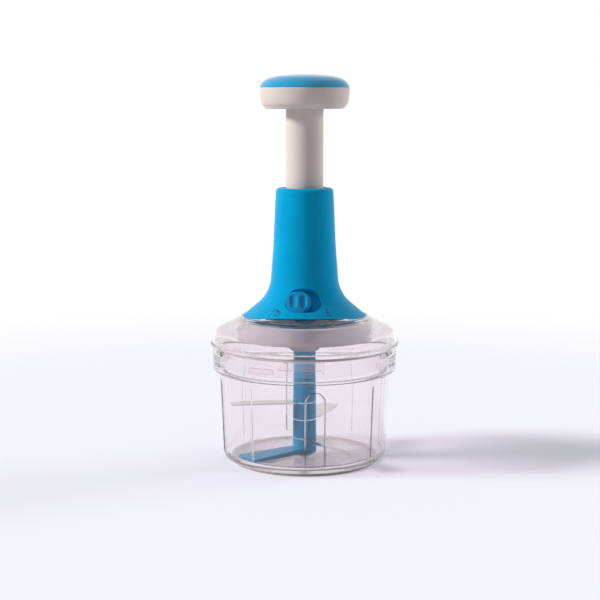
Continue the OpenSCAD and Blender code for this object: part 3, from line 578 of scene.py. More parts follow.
@dataclass(frozen=True)
class MouldedPlastic:
    """ABS or acetal, injection moulded in a polished or lightly textured mould.

    The colour is in the plastic, so it stays even; the mould's skin gives a soft broad
    highlight with a faint orange-peel, and fingers leave the gloss slightly uneven.
    """

    name: str
    colour: str
    shade: str
    roughness: float = 0.3
    gloss: float = 0.25
    peel_mm: float = 3.0
    peel_height: float = 0.01
    cloud_mm: float = 26.0

    def make(self) -> bpy.types.Material:
        """Builds the material.

        Returns:
            The material.
        """
        material, tree = blank(self.name)
        cloud = mottle(tree, self.cloud_mm)
        tint = add_node(tree, "ShaderNodeMix", {"data_type": "RGBA"},
                        values={6: linear(self.colour), 7: linear(self.shade)},
                        links={"Factor": spread(tree, cloud, 0.0, 1.0)})
        peel = add_node(tree, "ShaderNodeBump", values={"Strength": 0.5, "Distance": self.peel_height * MM},
                        links={"Height": mottle(tree, self.peel_mm, 1.0)})
        rubbed = spread(tree, mottle(tree, 9.0), self.roughness - 0.03, self.roughness + 0.04)
        skin = add_node(tree, "ShaderNodeBsdfPrincipled", values={
            "IOR": 1.52, "Specular IOR Level": self.gloss}, links={
            "Base Color": tint.outputs[2], "Roughness": rubbed, "Normal": peel.outputs[0]})
        add_node(tree, "ShaderNodeOutputMaterial", links={"Surface": skin.outputs[0]})
        return material


@dataclass(frozen=True)
class ClearPlastic:
    """Clear styrene resin, moulded in a mirror-polished mould.

    It shows what is behind it with a slight warm tint, dark thin lines where its edges
    bend the view, painted in as painted shade where it is given a dark tint, and a faint
    waviness from the flow of the melt. Light from the lamps goes through it to what it holds.
    """

    name: str
    tint: str
    passed: str
    roughness: float = 0.0
    ior: float = 1.49
    wave_mm: float = 30.0
    wave_height: float = 0.02

    def make(self) -> bpy.types.Material:
        """Builds the material.

        Returns:
            The material.
        """
        material, tree = blank(self.name)
        wave = add_node(tree, "ShaderNodeBump", values={"Strength": 0.12, "Distance": self.wave_height * MM},
                        links={"Height": mottle(tree, self.wave_mm, 0.0)})
        glass = add_node(tree, "ShaderNodeBsdfPrincipled", values={
            "Base Color": linear(self.tint), "Roughness": self.roughness, "IOR": self.ior,
            "Transmission Weight": 1.0}, links={"Normal": wave.outputs[0]})
        through = add_node(tree, "ShaderNodeBsdfTransparent", values={"Color": linear(self.passed)})
        path = add_node(tree, "ShaderNodeLightPath")
        lamp = add_node(tree, "ShaderNodeMath", {"operation": "MAXIMUM"}, links={
            0: path.outputs["Is Shadow Ray"], 1: path.outputs["Is Diffuse Ray"]})
        mix = add_node(tree, "ShaderNodeMixShader", links={
            0: lamp.outputs[0], 1: glass.outputs[0], 2: through.outputs[0]})
        add_node(tree, "ShaderNodeOutputMaterial", links={"Surface": mix.outputs[0]})
        return material


@dataclass(frozen=True)
class MilkyPlastic:
    """Natural polypropylene with a little tint, moulded with a satin skin.

    It glows where there is light behind it and blurs what is close behind it.
    """

    name: str
    colour: str
    clearness: float
    roughness: float

    def make(self) -> bpy.types.Material:
        """Builds the material.

        Returns:
            The material.
        """
        material, tree = blank(self.name)
        skin = add_node(tree, "ShaderNodeBsdfPrincipled", values={
            "Base Color": linear(self.colour), "IOR": 1.45, "Transmission Weight": self.clearness,
            "Specular IOR Level": 0.3}, links={
            "Roughness": spread(tree, mottle(tree, 7.0), self.roughness - 0.04, self.roughness + 0.04)})
        add_node(tree, "ShaderNodeOutputMaterial", links={"Surface": skin.outputs[0]})
        return material


@dataclass(frozen=True)
class WorkedSteel:
    """Stainless steel strip or wire, with fine lines from grinding or drawing.

    The lines run one way, so highlights stretch across them.
    """

    name: str
    colour: str
    roughness: float
    line_mm: float
    stretch: tuple[float, float, float]

    def make(self) -> bpy.types.Material:
        """Builds the material.

        Returns:
            The material.
        """
        material, tree = blank(self.name)
        where = add_node(tree, "ShaderNodeTexCoord")
        lined = add_node(tree, "ShaderNodeMapping", values={"Scale": self.stretch},
                         links={"Vector": where.outputs["Object"]})
        lines = add_node(tree, "ShaderNodeTexNoise", values={"Scale": 1000 / self.line_mm, "Detail": 2.0},
                         links={"Vector": lined.outputs[0]})
        bump = add_node(tree, "ShaderNodeBump", values={"Strength": 0.15, "Distance": 0.01 * MM},
                        links={"Height": lines.outputs["Fac"]})
        steel = add_node(tree, "ShaderNodeBsdfPrincipled", values={
            "Base Color": linear(self.colour), "Metallic": 1.0},
            links={"Roughness": spread(tree, lines.outputs["Fac"], self.roughness - 0.06, self.roughness + 0.08),
                   "Normal": bump.outputs[0]})
        add_node(tree, "ShaderNodeOutputMaterial", links={"Surface": steel.outputs[0]})
        return material


@dataclass(frozen=True)
class SoftRubber:
    """Silicone or thermoplastic rubber, moulded matt, which scatters light and hides gloss."""

    name: str
    colour: str
    shade: str
    roughness: float = 0.62

    def make(self) -> bpy.types.Material:
        """Builds the material.

        Returns:
            The material.
        """
        material, tree = blank(self.name)
        cloud = mottle(tree, 14.0)
        tint = add_node(tree, "ShaderNodeMix", {"data_type": "RGBA"},
                        values={6: linear(self.colour), 7: linear(self.shade)},
                        links={"Factor": spread(tree, cloud, 0.0, 1.0)})
        grain = add_node(tree, "ShaderNodeBump", values={"Strength": 0.3, "Distance": 0.02 * MM},
                         links={"Height": mottle(tree, 0.7, 1.0)})
        skin = add_node(tree, "ShaderNodeBsdfPrincipled", values={
            "Roughness": self.roughness, "IOR": 1.43}, links={
            "Base Color": tint.outputs[2], "Normal": grain.outputs[0]})
        add_node(tree, "ShaderNodeOutputMaterial", links={"Surface": skin.outputs[0]})
        return material


@dataclass
class Finishes:
    """Every finish of the object, made once."""

    # polished styrene: clear, with a faint rose-grey tint that deepens from wall to wall
    clear: bpy.types.Material = field(default_factory=lambda: ClearPlastic(
        "clear_styrene", "#FBF7F8", "#F6F2F4").make())
    # the same styrene under the dome's satin cone, which blurs what is behind it a little
    satin: bpy.types.Material = field(default_factory=lambda: ClearPlastic(
        "satin_styrene", "#FDFAFC", "#F8F4F6", roughness=0.16).make())
    # natural polypropylene: milky lilac-white, brighter where light comes through
    cover: bpy.types.Material = field(default_factory=lambda: MilkyPlastic(
        "lilac_polypropylene", "#F8F2F8", 0.5, 0.45).make())
    # thermoplastic rubber, moulded matt: a dull grey-pink that grips the table
    foot: bpy.types.Material = field(default_factory=lambda: SoftRubber(
        "foot_elastomer", "#BDB2B2", "#B2A7A8").make())
    # silicone, moulded satin: nearly white, and soft to the eye
    seal: bpy.types.Material = field(default_factory=lambda: SoftRubber(
        "seal_silicone", "#E4E0E0", "#DAD5D6", roughness=0.45).make())
    # ABS from a fine-grained mould: an even cyan blue with a broad soft sheen
    blue: bpy.types.Material = field(default_factory=lambda: MouldedPlastic(
        "blue_abs", "#00A2D6", "#009BCF", roughness=0.4, gloss=0.08).make())
    # the same ABS from a polished mould, which mirrors the pale room at its edges
    cap: bpy.types.Material = field(default_factory=lambda: MouldedPlastic(
        "polished_blue_abs", "#00A2D6", "#009BCF", roughness=0.14, gloss=0.4).make())
    # ABS of the blade column, a little paler than the handle
    column: bpy.types.Material = field(default_factory=lambda: MouldedPlastic(
        "blue_column_abs", "#159BCB", "#1194C3", roughness=0.3, gloss=0.2).make())
    # ABS of the button, a shade deeper and glossier than the handle
    button: bpy.types.Material = field(default_factory=lambda: MouldedPlastic(
        "blue_button_abs", "#0093CC", "#008BC4", roughness=0.22, gloss=0.16).make())
    # ABS in a warm light grey, soft like the handle
    grey: bpy.types.Material = field(default_factory=lambda: MouldedPlastic(
        "greige_abs", "#DAD0CC", "#D5CBC7", roughness=0.36, gloss=0.2).make())
    # acetal of the gliding pieces: waxy off-white
    white: bpy.types.Material = field(default_factory=lambda: MouldedPlastic(
        "natural_acetal", "#E9E6DF", "#E2DFD8", roughness=0.34).make())
    # martensitic blade steel, surface ground: fine lines that stretch its highlights
    blade: bpy.types.Material = field(default_factory=lambda: WorkedSteel(
        "ground_blade_steel", "#D8D8DA", 0.26, 0.5, (1.0, 1.0, 0.2)).make())
    # drawn and turned stainless steel, a little duller than the blades
    steel: bpy.types.Material = field(default_factory=lambda: WorkedSteel(
        "drawn_steel", "#CFCFD2", 0.3, 0.4, (1.0, 1.0, 0.1)).make())
    # sintered bronze: porous, brown-gold and dull
    bronze: bpy.types.Material = field(default_factory=lambda: WorkedSteel(
        "sintered_bronze", "#C79A5B", 0.42, 0.6, (1.0, 1.0, 1.0)).make())
    # the handle's blue, darker, on the raised marks so that they can be read
    mark: bpy.types.Material = field(default_factory=lambda: MouldedPlastic(
        "blue_darker_mark", "#00517E", "#004B76", roughness=0.45).make())
    # styrene with a matt frosting under the bowl, which blurs the floor below, and a grey tint that is painted shade of
    # the worktop under the bowl
    frosted_with_painted_shade: bpy.types.Material = field(default_factory=lambda: ClearPlastic(
        "frosted_styrene_painted_shade", "#DDD3DB", "#E9E0E4", roughness=0.32).make())
    # styrene at sharp turns, tinted dark: a painted shade that draws the thin dark outline a room gives in it
    painted_dark_outline: bpy.types.Material = field(default_factory=lambda: ClearPlastic(
        "styrene_painted_dark_outline", "#7A7078", "#E9E0E4").make())


# ------------------------------------------------------------------------ bowl


@dataclass
class Bowl:
    """The clear bowl with its flutes, ribs, catches, marks, foot ring and pivot pin."""

    base_r: float = 69.6
    top_r: float = 72.4
    wall: float = 2.4
    floor_t: float = 3.8
    corner_r: float = 7.0
    inner_corner_r: float = 5.2
    band_h: float = 21.5
    band_r: float = 78.0
    band_wall: float = 2.8
    band_corner_r: float = 3.0
    flute_w: float = 15.2
    flute_d: float = 1.5
    flute_wall: float = 1.5
    flute_az: float = 7.0
    flute_foot_z: float = 9.0
    flute_gap: float = 6.3
    bulge_spread: float = 0.41
    rib_r: float = 1.3
    rib_out: float = 0.8
    boss_r: float = 5.5
    boss_h: float = 2.2
    pin_r: float = 2.5
    catch_az: float = -3.0
    catch_l: float = 39.0
    catch_h: float = 6.0
    catch_z: float = 90.7
    catch_ramp: float = 5.5
    catch_depth: float = 2.2
    stop_w: float = 1.5
    stop_z: float = 88.6
    foot_w: float = 6.0
    grip_step: float = 6.0
    line_z: tuple[float, float] = (82.5, 98.0)
    # reach and steepness of the flute sides that get the painted dark outline
    painted_outline_reach: float = 0.6
    painted_outline_out: tuple[float, float] = (0.2, 0.88)

    def __post_init__(self) -> None:
        """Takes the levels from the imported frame."""
        self.foot_h = low("bowl").z
        self.rim_z = high("bowl").z
        self.band_z = self.rim_z - self.band_h
        self.corner_z = self.foot_h + self.corner_r
        self.floor_z = self.foot_h + self.floor_t
        self.band_in_r = self.band_r - self.band_wall
        self.flute_top = self.band_z - self.flute_gap
        self.arch_z = self.flute_top - self.flute_w / 2 - self.flute_d
        self.rib_z = self.corner_z + 2.0

    def wall_r(self, z: float) -> float:
        """Radius of the plain outer wall at a height, or of the corner under it.

        Args:
            z: Height in millimetres.

        Returns:
            The radius in millimetres.
        """
        if z < self.corner_z:
            return self.base_r - self.corner_r + math.sqrt(self.corner_r ** 2 - (self.corner_z - z) ** 2)
        share = (z - self.corner_z) / (self.band_z - self.corner_z)
        return self.base_r + (self.top_r - self.base_r) * share

    def off_line(self, az: float, first: float, r: float) -> float:
        """Distance along the wall from the nearest of four lines, 90 degrees apart."""
        return math.radians((az - first + 45) % 90 - 45) * r

    def flute_dent(self, az: float, z: float, wall: float) -> float:
        """Depth of a flute at a place: of its outside at wall 0, or of the bulge it makes inside.

        Args:
            az: Azimuth in degrees.
            z: Height in millimetres.
            wall: Thickness from the flute to its bulge, or 0 for its outside.

        Returns:
            The depth in millimetres.
        """
        if z < self.flute_foot_z - wall:
            return 0.0
        r = self.wall_r(z)
        u = self.off_line(az, self.flute_az, r)
        away = math.hypot(u, max(0.0, z - self.arch_z))
        side = max(0.0, away - self.flute_w / 2 - self.bulge_spread * wall)
        return max(0.0, self.flute_d + wall - u * u / (2 * r) - side - (self.wall if wall else 0.0))

    def rib_height(self, az: float, z: float) -> float:
        """How far a rib stands out of the wall at a place.

        Args:
            az: Azimuth in degrees.
            z: Height in millimetres.

        Returns:
            The height in millimetres.
        """
        if z < self.rib_z:
            return 0.0
        u = self.off_line(az, self.flute_az + 45, self.wall_r(z))
        away = math.hypot(u, max(0.0, z - (self.flute_top - self.rib_r)))
        if away >= self.rib_r:
            return 0.0
        return max(0.0, math.sqrt(self.rib_r ** 2 - away ** 2) - (self.rib_r - self.rib_out))

    def rows(self) -> list[float]:
        """Heights of the wall's rows, close together where the flutes begin and end.

        Returns:
            The heights in millimetres.
        """
        foot = self.flute_foot_z
        rows = [foot - 0.05, foot + 0.05, foot + 0.5, self.rib_z - 0.05, self.rib_z + 0.05]
        rows += [self.rib_z + 1.0 + 3.0 * i for i in range(int((self.arch_z - self.rib_z - 1.5) / 3.0) + 1)]
        rows += [self.arch_z + 0.45 * i for i in range(int((self.flute_top - self.arch_z) / 0.45) + 3)]
        rows += [self.band_z - 4.0, self.band_z - 1.6, self.band_z]
        return rows

    def section(self, az: float) -> Section:
        """The bowl's section at an azimuth, from the middle of its underside to its pin hole.

        Args:
            az: Azimuth in degrees.

        Returns:
            The closed section.
        """
        rows = self.rows()
        inner_r = self.wall_r(self.floor_z + self.inner_corner_r) - self.wall
        out = arc(self.base_r - self.corner_r, self.corner_z, self.corner_r, -90, 0, 8)[:-1]
        out += [(self.wall_r(z) - self.flute_dent(az, z, 0.0) + self.rib_height(az, z), z) for z in rows[:-1]]
        out += arc(self.top_r + 0.9, self.band_z - 0.9, 0.9, 180, 90, 4)
        out += arc(self.band_r - self.band_corner_r, self.band_z + self.band_corner_r,
                   self.band_corner_r, -90, 0, 7)
        out += arc(self.band_r - 0.7, self.rim_z - 0.7, 0.7, 0, 90, 4)
        out += arc(self.band_in_r + 0.5, self.rim_z - 0.5, 0.5, 90, 180, 3)
        ledge_z = self.band_z + self.wall
        out += arc(self.band_in_r - 0.8, ledge_z + 0.8, 0.8, 0, -90, 3)
        out += arc(self.top_r - self.wall + 0.6, ledge_z - 0.6, 0.6, 90, 180, 3)
        for z in reversed([z for z in rows if z > self.floor_z + self.inner_corner_r]):
            out.append((self.wall_r(z) - self.wall - self.flute_dent(az, z, self.flute_wall), z))
        out += arc(inner_r - self.inner_corner_r, self.floor_z + self.inner_corner_r,
                   self.inner_corner_r, 0, -90, 6)
        boss_top = self.floor_z + self.boss_h
        out += [(self.boss_r + 0.8, self.floor_z), (self.boss_r, self.floor_z + 0.6),
                (self.boss_r, boss_top - 0.4), (self.boss_r - 0.4, boss_top),
                (self.pin_r + 0.3, boss_top), (self.pin_r + 0.02, boss_top - 0.3),
                (self.pin_r + 0.02, low("pivot_pin").z), (0.0, low("pivot_pin").z), (0.0, self.foot_h)]
        return out

    def azimuths(self) -> list[float]:
        """Azimuths of the bowl's sections, close together across the flutes and ribs.

        Returns:
            The azimuths in degrees.
        """
        flute = math.degrees((self.flute_w / 2 + self.flute_d + 0.5) / self.base_r)
        rib = math.degrees((self.rib_r + 0.2) / self.base_r)
        found: list[float] = []
        for quarter in range(4):
            mid = self.flute_az + 90 * quarter
            found += [mid - flute + 2 * flute * i / 44 for i in range(45)]
            found += [mid + 45 - rib + 2 * rib * i / 14 for i in range(15)]
            for start, end in ((mid + flute, mid + 45 - rib), (mid + 45 + rib, mid + 90 - flute)):
                found += [start + (end - start) * i / 12 for i in range(1, 12)]
        return sorted(found)

    def catch_section(self, az: float) -> Section:
        """Section of a catch, whose top slopes at its entry and whose far end is a stop.

        Args:
            az: Azimuth in degrees.

        Returns:
            The closed section.
        """
        u = math.radians(az) * self.band_in_r
        half = self.catch_l / 2
        top = self.catch_z + self.catch_h * min(1.0, (u + half) / self.catch_ramp)
        foot = self.stop_z if u > half - self.stop_w else self.catch_z
        r_in, r_out = self.band_in_r - self.catch_depth, self.band_in_r - 0.02
        return [(r_in, foot), (r_out, foot), (r_out, top + 0.05), (r_in, top + 0.05)]

    def build(self, finishes: Finishes, ring: bpy.types.NodeTree) -> None:
        """Makes the bowl and what is fixed to it.

        Args:
            finishes: The finishes.
            ring: The tree that repeats a piece round the axis.
        """
        wall = lathe("bowl_wall", self.section, self.azimuths(), sharp=50)
        wall.data.materials.append(finishes.clear)
        wall.data.materials.append(finishes.frosted_with_painted_shade)
        wall.data.materials.append(finishes.painted_dark_outline)
        for face in wall.data.polygons:
            # the underside gets the frosting finish: real blur, and a grey tint that is painted shade
            if face.normal.z < -0.9 and face.center.z < (self.foot_h + 0.2) * MM:
                face.material_index = 1
            # steep flute sides and the band's lower corner get the dark tint: a painted dark outline, painted shade
            elif self.on_flute_side(face) or self.on_band_corner(face):
                face.material_index = 2
        fit(wall, Body.BOWL, Slot.CLEAR, finishes.clear, ["bowl"])
        self.build_catches(finishes, ring)
        self.build_foot(finishes, ring)
        self.build_marks(finishes)
        dress("pivot_pin", finishes.steel)

    def on_flute_side(self, face: bpy.types.MeshPolygon) -> bool:
        """Whether a face is a steep outer side of a flute, where a dark tint paints in the dark of a room as painted
        shade.

        Args:
            face: A face of the mesh.

        Returns:
            True on such a face.
        """
        x, y, z = (c / MM for c in face.center)
        r = math.hypot(x, y)
        out = (face.normal.x * x + face.normal.y * y) / r
        az = math.degrees(math.atan2(x, -y))
        near = abs(self.off_line(az, self.flute_az, r)) < self.flute_w / 2 + self.flute_d + self.painted_outline_reach
        steep = self.painted_outline_out[0] < out < self.painted_outline_out[1]
        return near and steep and self.corner_z < z < self.flute_top + self.painted_outline_reach

    def on_band_corner(self, face: bpy.types.MeshPolygon) -> bool:
        """Whether a face is on the turn of the rim band's lower corner, which gets a painted dark outline."""
        x, y, z = (c / MM for c in face.center)
        return math.hypot(x, y) > self.band_r - 2.6 and self.band_z + 0.1 < z < self.band_z + 1.1

    def build_catches(self, finishes: Finishes, ring: bpy.types.NodeTree) -> None:
        """Four catches inside the rim band.

        Args:
            finishes: The finishes.
            ring: The tree that repeats a piece round the axis.
        """
        half = math.degrees(self.catch_l / 2 / self.band_in_r)
        stop = math.degrees((self.catch_l / 2 - self.stop_w) / self.band_in_r)
        ramp = math.degrees((self.catch_ramp - self.catch_l / 2) / self.band_in_r)
        azimuths = [-half, (ramp - half) / 2, ramp] + [ramp + (stop - ramp) * i / 12 for i in range(1, 12)]
        azimuths += [stop - 0.02, stop + 0.02, half]
        catch = lathe("bowl_catches", self.catch_section, azimuths, whole=False)
        run_tree(catch, ring, {"Count": 4, "First angle": math.radians(self.catch_az),
                               "Step angle": math.radians(90), "Finish": finishes.clear})
        fit(catch, Body.BOWL, Slot.CLEAR, finishes.clear)

    def build_foot(self, finishes: Finishes, ring: bpy.types.NodeTree) -> None:
        """The soft foot ring, with a groove and fine grip ridges on its underside.

        Args:
            finishes: The finishes.
            ring: The tree that repeats a piece round the axis.
        """
        r_out = self.base_r - self.corner_r
        r_in = r_out - self.foot_w
        mid = (r_out + r_in) / 2
        body = turned("foot_band", [
            (r_in, self.foot_h - 0.02, 0), (r_in, 0.9, 0.4), (r_in + 0.9, 0.05, 0.3), (mid - 0.9, 0.05, 0.2),
            (mid - 0.6, 0.5, 0.1), (mid + 0.6, 0.5, 0.1), (mid + 0.9, 0.05, 0.2), (r_out - 1.2, 0.05, 0.4),
            (r_out - 0.3, 0.9, 0.5), (r_out - 0.1, self.foot_h - 0.02, 0)])
        fit(body, Body.BOWL, Slot.FOOT, finishes.foot, ["foot_ring"])
        ridge_in, ridge_out = r_in + 1.3, mid - 1.2
        profile = [(ridge_in, 0.0), (ridge_out, 0.0), (ridge_out, 0.3), (ridge_in, 0.3)]
        ridge = lathe("foot_grip", lambda az: profile, [-1.0, 0.0, 1.0], whole=False)
        run_tree(ridge, ring, {"Count": int(360 / self.grip_step), "First angle": 0.0,
                               "Step angle": math.radians(self.grip_step), "Finish": finishes.foot})
        fit(ridge, Body.BOWL, Slot.FOOT, finishes.foot)

    def build_marks(self, finishes: Finishes) -> None:
        """The raised line on the band that shows where the lid goes on.

        Args:
            finishes: The finishes.
        """
        r, (foot, top) = self.band_r, self.line_z
        profile = [(r - 0.05, foot), (r + 0.25, foot + 0.2), (r + 0.25, top - 0.2), (r - 0.05, top)]
        line = lathe("band_line", lambda az: profile, [-0.9, -0.7, -0.5], whole=False)
        fit(line, Body.BOWL, Slot.CLEAR, finishes.clear)


# ---------------------------------------------------------------- blade column


@dataclass
class BladeColumn:
    """The blue column with its scraper arm and the three steel blades."""

    foot_r: float = 10.15
    top_r: float = 9.45
    spigot_w: float = 9.6
    blade_t: float = 1.0
    blade_half_w: float = 9.0
    blade_sweep: float = 4.2
    blade_belly: float = 1.6
    bevel_w: float = 4.0
    blade_r: float = 65.67
    root_inset: float = 0.25
    edge_t: float = 0.15
    lower_az: float = 35.0
    middle_az: float = 155.0
    upper_az: float = -85.0
    scraper_az: float = -58.0
    scraper_r: float = 58.47
    scraper_root: tuple[float, float] = (15.4, 4.35)
    scraper_tip: tuple[float, float] = (26.2, 2.15)

    def __post_init__(self) -> None:
        """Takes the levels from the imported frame."""
        self.foot_z = low("column_base").z
        self.shaft_top = low("drive_cover").z - 0.4
        self.spigot_top = high("column_top").z
        self.levels = {name: low(name).z for name in ("blade_lower", "blade_middle", "blade_upper")}

    def radius(self, z: float) -> float:
        """Radius of the column at a height."""
        return self.foot_r + (self.top_r - self.foot_r) * (z - self.foot_z) / (self.shaft_top - self.foot_z)

    def shaft(self, name: str, z0: float, z1: float) -> bpy.types.Object:
        """One section of the column, with softly broken edges."""
        return turned(name, [(0, z0, 0), (self.radius(z0), z0, 0.35), (self.radius(z1), z1, 0.35), (0, z1, 0)], 96)

    def scraper(self) -> bpy.types.Object:
        """The scraper arm: low and flat, and wider and thinner towards its tip.

        Returns:
            The arm.
        """
        rings = []
        start, end = 4.0, self.scraper_r
        for i in range(15):
            r = start + (end - start) * i / 14
            f = (r - start) / (end - start)
            w = self.scraper_root[0] + (self.scraper_tip[0] - self.scraper_root[0]) * f
            h = self.scraper_root[1] + (self.scraper_tip[1] - self.scraper_root[1]) * f
            z = self.foot_z
            outline = fillet([(-w / 2, z, 0.2), (w / 2, z, 0.2), (w / 2, z + h, 0.6), (-w / 2, z + h, 0.6)])
            rings.append([place(self.scraper_az, math.sqrt(max(r * r - (u * f) ** 2, 1.0)), v, u) for u, v in outline])
        return loft("scraper_arm", rings, sharp=40)

    def blade(self, name: str, z: float, az: float) -> bpy.types.Object:
        """A blade: a round root, and a swept strip whose bellied edge is ground thin.

        Args:
            name: The piece's name.
            z: Height of the blade's underside.
            az: Azimuth of the blade in degrees.

        Returns:
            The blade.
        """
        rings = []
        root = self.radius(z) - 1.5
        for i in range(25):
            f = i / 24
            edge_y = root + (self.blade_r - root - 1) * f
            back_y = root + (self.blade_r - root - 3) * f
            v = self.blade_sweep * f - self.blade_half_w - 4 * self.blade_belly * f * (1 - f)
            back = self.blade_half_w + 0.7 * self.blade_sweep * f
            ground = v + self.bevel_w
            mid_y = edge_y + (back_y - edge_y) * self.bevel_w / (back - v)
            rings.append([place(az, edge_y, z + 0.02, v), place(az, edge_y, z + self.edge_t, v),
                          place(az, mid_y, z + self.blade_t, ground), place(az, back_y, z + self.blade_t, back - 0.15),
                          place(az, back_y, z + self.blade_t - 0.15, back), place(az, back_y, z + 0.1, back),
                          place(az, back_y, z, back - 0.1)])
        strip = loft(name, rings, sharp=8)
        boss_r = self.radius(z) - self.root_inset
        boss = turned(name + "_root", [(0, z, 0), (boss_r, z, 0.1), (boss_r, z + self.blade_t, 0.1),
                                       (0, z + self.blade_t, 0)], 96)
        return joined(name, [strip, boss])

    def build(self, finishes: Finishes) -> None:
        """Makes the column and its blades.

        Args:
            finishes: The finishes.
        """
        lower, middle, upper = (self.levels[n] for n in ("blade_lower", "blade_middle", "blade_upper"))
        t = self.blade_t
        foot = self.shaft("column_foot", self.foot_z, lower)
        fit(foot, Body.BLADES, Slot.BLUE, finishes.column, ["column_base"])
        fit(self.scraper(), Body.BLADES, Slot.BLUE, finishes.column)
        fit(self.shaft("sleeve_low", lower + t, middle), Body.BLADES, Slot.BLUE, finishes.column, ["sleeve_lower"])
        fit(self.shaft("sleeve_high", middle + t, upper), Body.BLADES, Slot.BLUE, finishes.column, ["sleeve_upper"])
        head = self.shaft("column_head", upper + t, self.shaft_top)
        fit(head, Body.BLADES, Slot.BLUE, finishes.column, ["column_top"])
        w = self.spigot_w / 2
        spigot = loft("column_spigot", [
            [(s * (w - inset), q * (w - inset), z) for s, q in ((-1, -1), (1, -1), (1, 1), (-1, 1))]
            for inset, z in ((0.0, self.shaft_top - 0.5), (0.0, self.spigot_top - 0.8), (0.8, self.spigot_top))])
        fit(bevelled(spigot, 0.4), Body.BLADES, Slot.BLUE, finishes.column)
        for node, az in zip(self.levels, (self.lower_az, self.middle_az, self.upper_az)):
            fit(self.blade(node + "_steel", self.levels[node], az), Body.BLADES, Slot.BLADE, finishes.blade, [node])


# ------------------------------------------------------------------ the hem line


@dataclass
class Hem:
    """The handle's saddle-shaped hem, which the lid's neck and the handle share."""

    r: float = 52.5
    arch: float = 4.8
    slope: float = 40.0

    def __post_init__(self) -> None:
        """Takes the hem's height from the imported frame."""
        self.z = low("handle_shell").z
        self.arch_r = self.r ** 2 / (2 * self.arch)

    def cone_r(self, z: float, inset: float = 0.0) -> float:
        """Radius of the handle's skirt at a height, moved inwards by an inset."""
        s = math.radians(self.slope)
        return self.r - inset / math.sin(s) - (z - self.z) / math.tan(s)

    def seat_z(self, r: float, az: float, drop: float = 0.0) -> float:
        """Height of the saddle at a place, lowered by a drop."""
        y = r * math.cos(math.radians(az))
        return self.z + self.arch_r - math.sqrt((self.arch_r + drop) ** 2 - y * y)

    def edge(self, az: float, inset: float = 0.0, drop: float = 0.0) -> Point:
        """Where the skirt's cone meets the saddle at an azimuth.

        Args:
            az: Azimuth in degrees.
            inset: Distance inwards from the skin.
            drop: Distance below the saddle.

        Returns:
            The radius and the height.
        """
        z = self.z
        for _ in range(30):
            z = self.seat_z(self.cone_r(z, inset), az, drop)
        return self.cone_r(z, inset), z


# ------------------------------------------------------------------------- lid


